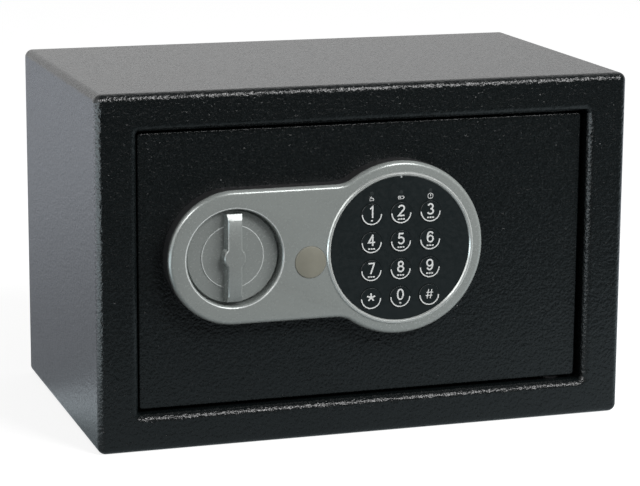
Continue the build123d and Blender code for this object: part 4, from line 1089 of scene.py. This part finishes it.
def makeCells():
    # radius and place along the cell, part by part, in millimetres
    settings = {"radius": 7.1, "length": 50.5, "count": 4, "finishes": ["nickel", "sleeve", "band"]}
    parts = {
        "flatEnd": (0, [(0, 0.15), (4.3, 0.15), (4.7, 0.45), (6.1, 0.45)]),
        "wrap": (1, [(6.3, 0.1), (6.8, 0.0), (7.05, 0.25), (7.1, 0.6), (7.1, 31.5)]),
        "band": (2, [(7.1, 48.4), (7.02, 48.8), (6.7, 49.0), (6.2, 48.95)]),
        "topEnd": (0, [(6.0, 48.6), (3.7, 48.6), (3.3, 48.75), (2.75, 48.9), (2.75, 50.1), (2.45, 50.5),
                       (0, 50.5)]),
    }
    profile = [point for finish, points in parts.values() for point in points]
    marks = [finish for finish, points in parts.values() for point in points]
    low, high, middle = extent("battery_cells")
    radius, length = settings["radius"] * mm, settings["length"] * mm
    pitch = (high.z - low.z - 2 * radius) / (settings["count"] - 1)
    cells = []
    for number in range(settings["count"]):
        way = 1 if number % 2 else -1
        x = high.x - length if number % 2 else low.x + length
        start = (x, middle.y, low.z + radius + pitch * number)
        cell = turned("cell_%d" % (number + 1), profile, start, (way, 0, 0), settings["finishes"], 64,
                      marks[1:])
        settle(cell, "door", "cell_wrap", "battery_cells")
        cells.append((start, way))
    return cells


def makeContacts(cells):
    # a sprung coil at each cell's flat end, and a plate at both ends
    settings = {"plateSize": 11.2 * mm, "plateRound": 1.2 * mm, "thickness": 0.5 * mm, "length": 4.0 * mm,
                "wide": 4.4 * mm, "slim": 2.7 * mm, "wire": 0.7 * mm, "turns": 3.5}
    low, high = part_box("battery_contacts")
    plate, thick, wire = settings["plateSize"], settings["thickness"], settings["wire"]
    sizes = {"Low": settings["wide"], "High": settings["slim"], "Height": settings["length"] - wire,
             "Turns": settings["turns"], "Wire": wire}
    work = bmesh.new()
    coils = []
    for (x, y, z), way in cells:
        for side in (low.x, high.x - thick):
            addBlock(work, (thick, plate, plate), (side + thick / 2, y, z))
        coil = grow("spring", "contactSeed", sizes, "spring")
        root = (high.x - thick - wire / 2) if way < 0 else (low.x + thick + wire / 2)
        coil.transform(Matrix.Translation((root, y, z)) @ Matrix.Rotation(math.radians(90) * way, 4, "Y"))
        coils.append(coil)
    corners = [edge for edge in work.edges if abs((edge.verts[0].co - edge.verts[1].co).x) > 0]
    bmesh.ops.bevel(work, geom=corners, offset=settings["plateRound"], segments=4, affect="EDGES")
    plates = writeBack(work, bpy.data.meshes.new("contactPlates"))
    for name, mesh, finish in (("contactPlates", plates, "nickel"),
                               ("contactSprings", joined("contactSprings", coils), "spring")):
        settle(pieceFrom(mesh, name, [finish], 40), "door", "nickel", "battery_contacts")


def makeLid():
    # sliding lid, with two raised chevrons that point the way it opens
    settings = {"reach": 3.2 * mm, "half": 4.5 * mm, "stroke": 1.3 * mm, "height": 0.8 * mm, "sunk": 0.8 * mm,
                "fromLeft": (31 * mm, 36.5 * mm), "soften": 0.12}
    dress("battery_lid", "black")
    low, high, middle = extent("battery_lid")
    axes = {joint["name"]: joint["axis"] for joint in frame["joints"]}
    way = math.copysign(1, axes["lid_slide"][0])
    bars = []
    for x in settings["fromLeft"]:
        line = [(x, -settings["half"]), (x + way * settings["reach"], 0), (x, settings["half"])]
        bar = ribbon(line, settings["stroke"], settings["height"])
        bar.transform(flatToFront(low.x, high.y - settings["sunk"], middle.z))
        bars.append(bar)
    arrows = pieceFrom(joined("lidArrows", bars), "lidArrows", ["black"], 40, settings["soften"])
    settle(arrows, "battery_lid", "black_plastic")


def makeBoards():
    # main board: chips with their legs, three capacitors and a plug socket, in millimetres
    settings = {
        "board": 1.6, "chipBehind": 0.1, "legsReach": (9, 5.5), "legPitch": 1.27,
        "chips": [(7.4, 127.75), (27.9, 87.75), (46.76, 127.75)],
        "capacitors": [(2.0, 96.0), (10.5, 96.0), (45.0, 101.0)],
        "can": [(0, 0), (2.375, 0), (2.5, 0.25), (2.5, 1.25), (2.3, 1.5), (2.5, 1.8), (2.5, 6.1), (2.2, 6.4),
                (2.0, 6.25), (0, 6.25)],
        "canBands": [0] * 7 + [1] * 2,
        "pins": [(61.0, 128.0), (63.0, 128.0), (65.0, 128.0), (67.0, 128.0)],
    }
    legSizes = {"Foot": 0.42 * mm, "Tip": 0.3 * mm, "Height": 1.1 * mm, "Sides": 4}
    pinSizes = {"Foot": 0.35 * mm, "Tip": 0.2 * mm, "Height": 6.0 * mm, "Sides": 4}
    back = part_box("board_standoffs")[1].y + settings["board"] * mm
    dress("main_board", "board", raised=(back + settings["chipBehind"] * mm, "chip"))
    dress("board_standoffs", "nylon")
    reachX, reachZ = settings["legsReach"]
    pitch = settings["legPitch"]
    legs = [((x - reachX + step * pitch) * mm, back, (z + side * reachZ) * mm) for x, z in settings["chips"]
            for step in range(int(2 * reachX / pitch) + 1) for side in (-1, 1)]
    grown("pegs", "chipLegs", "door", "nickel", legSizes, "solder", points=legs)
    pins = [(x * mm, back, z * mm) for x, z in settings["pins"]]
    grown("pegs", "socketPins", "door", "nickel", pinSizes, "nickel", points=pins)
    for number, (x, z) in enumerate(settings["capacitors"], 1):
        can = turned("capacitor_%d" % number, settings["can"], (x * mm, back, z * mm), (0, 1, 0),
                     ["sleeve", "nickel"], 40, settings["canBands"])
        settle(can, "door", "cell_wrap")


def makeMat():
    mat = dress("floor_mat", "felt")


makeCover()
dress("battery_tray", "black")
makeContacts(makeCells())
makeLid()
makeBoards()
makeMat()
print("cover and batteries dressed")
